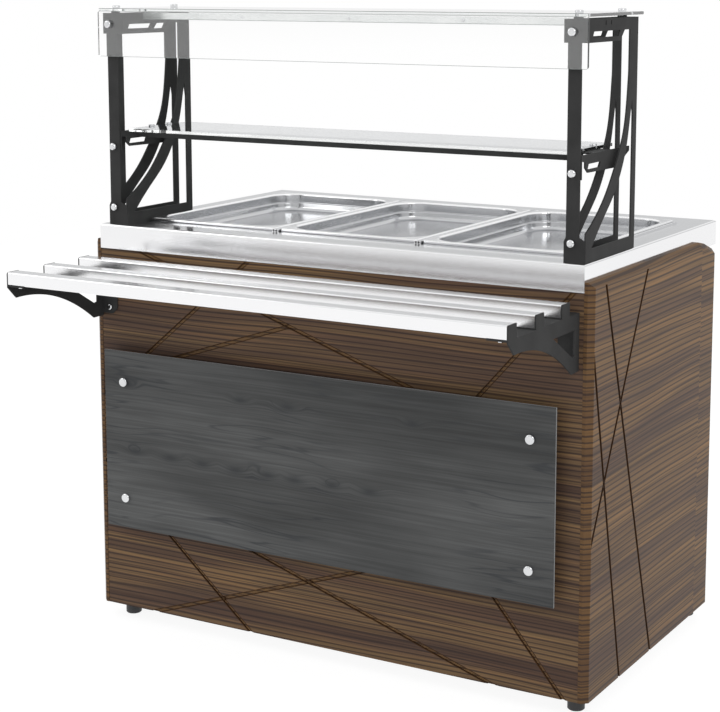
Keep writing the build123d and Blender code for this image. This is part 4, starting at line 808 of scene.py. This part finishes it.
def paint_groove_shade(name, lines, limits, to_point, to_turn):
    """Two slim bars of painted shade along every line, laid on their board by to_point and to_turn and
    clipped.
    """
    shape = bmesh.new()
    depth = (SHADE_TOP + SHADE_LOW) / 2
    for start, end in lines:
        run = math.hypot(end[0] - start[0], end[1] - start[1])
        lean = math.atan2(end[1] - start[1], end[0] - start[0])
        for side in (-1, 1):
            aside = side * (GROOVE_HALF - SHADE_WIDTH / 2)
            across = (start[0] + end[0]) / 2 - aside * math.sin(lean)
            up = (start[1] + end[1]) / 2 + aside * math.cos(lean)
            bar(shape, to_point(across, up, depth), (run, SHADE_LOW - SHADE_TOP, SHADE_WIDTH),
                to_turn(lean))
    for point, outwards in limits:
        clip(shape, place(*point), outwards)
    keep(name, shape, groove_shade_paint, "counter")


paint_groove_shade("groove_shade_front", FRONT_LINES, FRONT_LIMITS,
             lambda x, z, depth: (x, FRONT_FACE + depth, z),
             lambda lean: Matrix.Rotation(-lean, 4, "Y"))
for name, face, inwards in (("groove_shade_right", RIGHT_FACE, -1), ("groove_shade_left", LEFT_FACE, 1)):
    paint_groove_shade(name, SIDE_LINES, SIDE_LIMITS,
                 lambda y, z, depth: (face + inwards * depth, y, z),
                 lambda lean: Matrix.Rotation(lean, 4, "X") @ Matrix.Rotation(math.pi / 2, 4, "Z"))
print(len(FRONT_LINES), "front lines and", len(SIDE_LINES), "on each side")

# %% [markdown]
# ## Clips at the dividers' front ends
#
# Each divider bar ends in a small bent tab that hooks over the front of the pan well, held by two
# dark rubber plugs. They are only 15 mm wide, but they are the one dark mark on that bright edge.

# %% Divider clips
DIVIDER_XS = (392.5, 727.5)
CLIP_Y = 82.0
CLIP_Z = 877.7
CLIP_SIZE = (15.0, 1.4, 5.0)
PLUGS_ASIDE = (-4.2, 2.2)
PLUG_SIZE = (3.4, 1.4, 3.2)

shape = bmesh.new()
plugs = bmesh.new()
for x in DIVIDER_XS:
    bar(shape, (x - 1.0, CLIP_Y, CLIP_Z), CLIP_SIZE)
    for aside in PLUGS_ASIDE:
        bar(plugs, (x + aside, CLIP_Y - 0.7, CLIP_Z + 0.2), PLUG_SIZE, Matrix.Rotation(math.pi / 4, 4, "Y"))
outline = [edge for edge in shape.edges if abs(edge.verts[0].co.y - edge.verts[1].co.y) < 1e-6]
soften(shape, outline, 0.5, 3)
keep("divider_clips", shape, steel_top, "counter")
keep("divider_plugs", plugs, pad_rubber, "counter")
print(len(DIVIDER_XS), "clips")

# %% [markdown]
# ## Ground edges of the glass
#
# Clear glass shows itself by its edges. They are ground: the arrises of the roof and the rims of the
# visor read as thin grey lines, and the visor's right end, which the eye meets almost end-on, reads
# nearly black, because the light in the sheet has run on past it. The light channel gets a thin grey
# line too, along its lower front edge.

# %% Glass edges
VISOR_ENDS = (3.0, 1117.0)
VISOR_FACE = 4.0
VISOR_MIDDLE_Y = 7.0
VISOR_LOW = 1230.5
VISOR_TOP = 1323.5
ROOF_LEVELS = (1324.0, 1329.3)
ARRIS = 0.9
SKIN = 0.3
LINE_STRIP_HEIGHT = 1.0
LINE_STRIP_RAISE = 0.6

ground_edge = grained("ground_glass_edge", "#868b89", "#949998", 0.5, 0.8, 0.1)
dark_end = grained("dark_glass_end", "#191c1b", "#222625", 0.3, 0.8, 0.05)
middle_x = sum(VISOR_ENDS) / 2
middle_z = (VISOR_LOW + VISOR_TOP) / 2
glass_length = VISOR_ENDS[1] - VISOR_ENDS[0]
glass_height = VISOR_TOP - VISOR_LOW
# Each strip stops a few millimetres short of the glass's corners.
shape = bmesh.new()
for level in ROOF_LEVELS:
    bar(shape, (middle_x, VISOR_FACE - SKIN, level), (glass_length - 8.0, SKIN, ARRIS))
bar(shape, (middle_x, VISOR_MIDDLE_Y, VISOR_LOW - SKIN), (glass_length - 7.0, 5.4, 0.5))
bar(shape, (VISOR_ENDS[0] - SKIN, VISOR_MIDDLE_Y, middle_z), (SKIN, 2.4, glass_height - 8.0))
keep("glass_arrises", shape, ground_edge, "counter")
shape = bmesh.new()
bar(shape, (VISOR_ENDS[1] + SKIN, VISOR_MIDDLE_Y, middle_z), (SKIN, 5.6, glass_height - 6.0))
keep("visor_end", shape, dark_end, "counter")
channel = [Vector(corner) for corner in nodes["light_channel"].bound_box]
low = min(corner.z for corner in channel) / MM
front = min(corner.y for corner in channel) / MM + CORNER_Y
left = min(corner.x for corner in channel) / MM + CORNER_X
right = max(corner.x for corner in channel) / MM + CORNER_X
# A thin grey strip along the light channel's lower front edge.
shape = bmesh.new()
bar(shape, ((left + right) / 2, front - SKIN, low + LINE_STRIP_RAISE), (right - left - 2.0, SKIN, LINE_STRIP_HEIGHT))
keep("channel_grey_line", shape, ground_edge, "counter")
print("ground edges on", round(glass_length), "mm of glass")

# %% [markdown]
# ## Dial and pointer
#
# The back has a thermostat and two switches. Their marks are generic: here a fan of ticks round the
# knob, every fifth one longer, and a white line on the knob's ridge.

# %% Dial ticks and pointer
CONTROLS_Z = 756.0
KNOB_X = 560.0
FASCIA_Y = 671.5
KNOB_FACE = 21.2
TICKS = 11
LONG_TICK_EVERY = 5
TICK_REACH = 29.5
TICK_WIDTH = 0.9
TICK_LENGTH = 2.5
LONG_TICK_EXTRA = 2.0
SWEEP_DEG = 270.0
PRINT_DEPTH = 0.3
POINTER_SIZE = (1.2, 0.4, 10.0)

print_white = grained("white_pad_print", "#e4e4e0", "#efefec", 0.5, 1.0, 0.02)
print_dark = grained("dark_pad_print", "#1e1e20", "#28282a", 0.6, 1.0, 0.02)
shape = bmesh.new()
for index in range(TICKS):
    angle = math.radians(-SWEEP_DEG / 2 + SWEEP_DEG * index / (TICKS - 1))
    middle = (KNOB_X + TICK_REACH * math.sin(angle), FASCIA_Y + PRINT_DEPTH / 2,
              CONTROLS_Z + TICK_REACH * math.cos(angle))
    length = TICK_LENGTH + LONG_TICK_EXTRA * (index % LONG_TICK_EVERY == 0)
    bar(shape, middle, (TICK_WIDTH, PRINT_DEPTH, length), Matrix.Rotation(angle, 4, "Y"))
keep("dial_ticks", shape, print_dark, "counter")
shape = bmesh.new()
bar(shape, (KNOB_X, FASCIA_Y + KNOB_FACE, CONTROLS_Z + 10.0), POINTER_SIZE)
keep("knob_pointer", shape, print_white, "thermostat_knob")
print(TICKS, "ticks and one pointer")

# %% [markdown]
# ## Marks of the switches
#
# Each rocker key has a plain stroke on its lower half and a ring on its upper half. The upper half
# leans by the full tilt when the key is at rest, so the ring is laid on that slope.

# %% Switch marks
ROCKERS = (("rocker_heat", 440.0), ("rocker_light", 380.0))
ROCKER_PIVOT_Y = 668.5
MARK_ASIDE = 5.4
MARK_FACE = 6.6
FULL_TILT_DEG = 16.0
STROKE_SIZE = (0.8, PRINT_DEPTH, 4.6)
RING_RADII = (2.3, 1.6)
RING_STEPS = 24


def ring_mark(shape, middle, turn):
    """A flat ring: two circles, bridged, given a thickness."""
    matrix = Matrix.Translation(place(*middle)) @ turn @ Matrix.Rotation(math.pi / 2, 4, "X")
    edges = []
    for radius in RING_RADII:
        circle = bmesh.ops.create_circle(shape, segments=RING_STEPS, radius=radius * MM, matrix=matrix)
        edges += list({edge for vert in circle["verts"] for edge in vert.link_edges})
    faces = bmesh.ops.bridge_loops(shape, edges=edges)["faces"]
    bmesh.ops.solidify(shape, geom=faces, thickness=PRINT_DEPTH * MM)


tilt = math.radians(FULL_TILT_DEG)
proud = (MARK_FACE - MARK_ASIDE * math.sin(tilt)) / math.cos(tilt)
for name, x in ROCKERS:
    shape = bmesh.new()
    bar(shape, (x, ROCKER_PIVOT_Y + MARK_FACE, CONTROLS_Z - MARK_ASIDE), STROKE_SIZE)
    ring_mark(shape, (x, ROCKER_PIVOT_Y + proud, CONTROLS_Z + MARK_ASIDE), Matrix.Rotation(tilt, 4, "X"))
    keep(name + "_marks", shape, print_white, name)
print(len(ROCKERS), "pairs of switch marks")
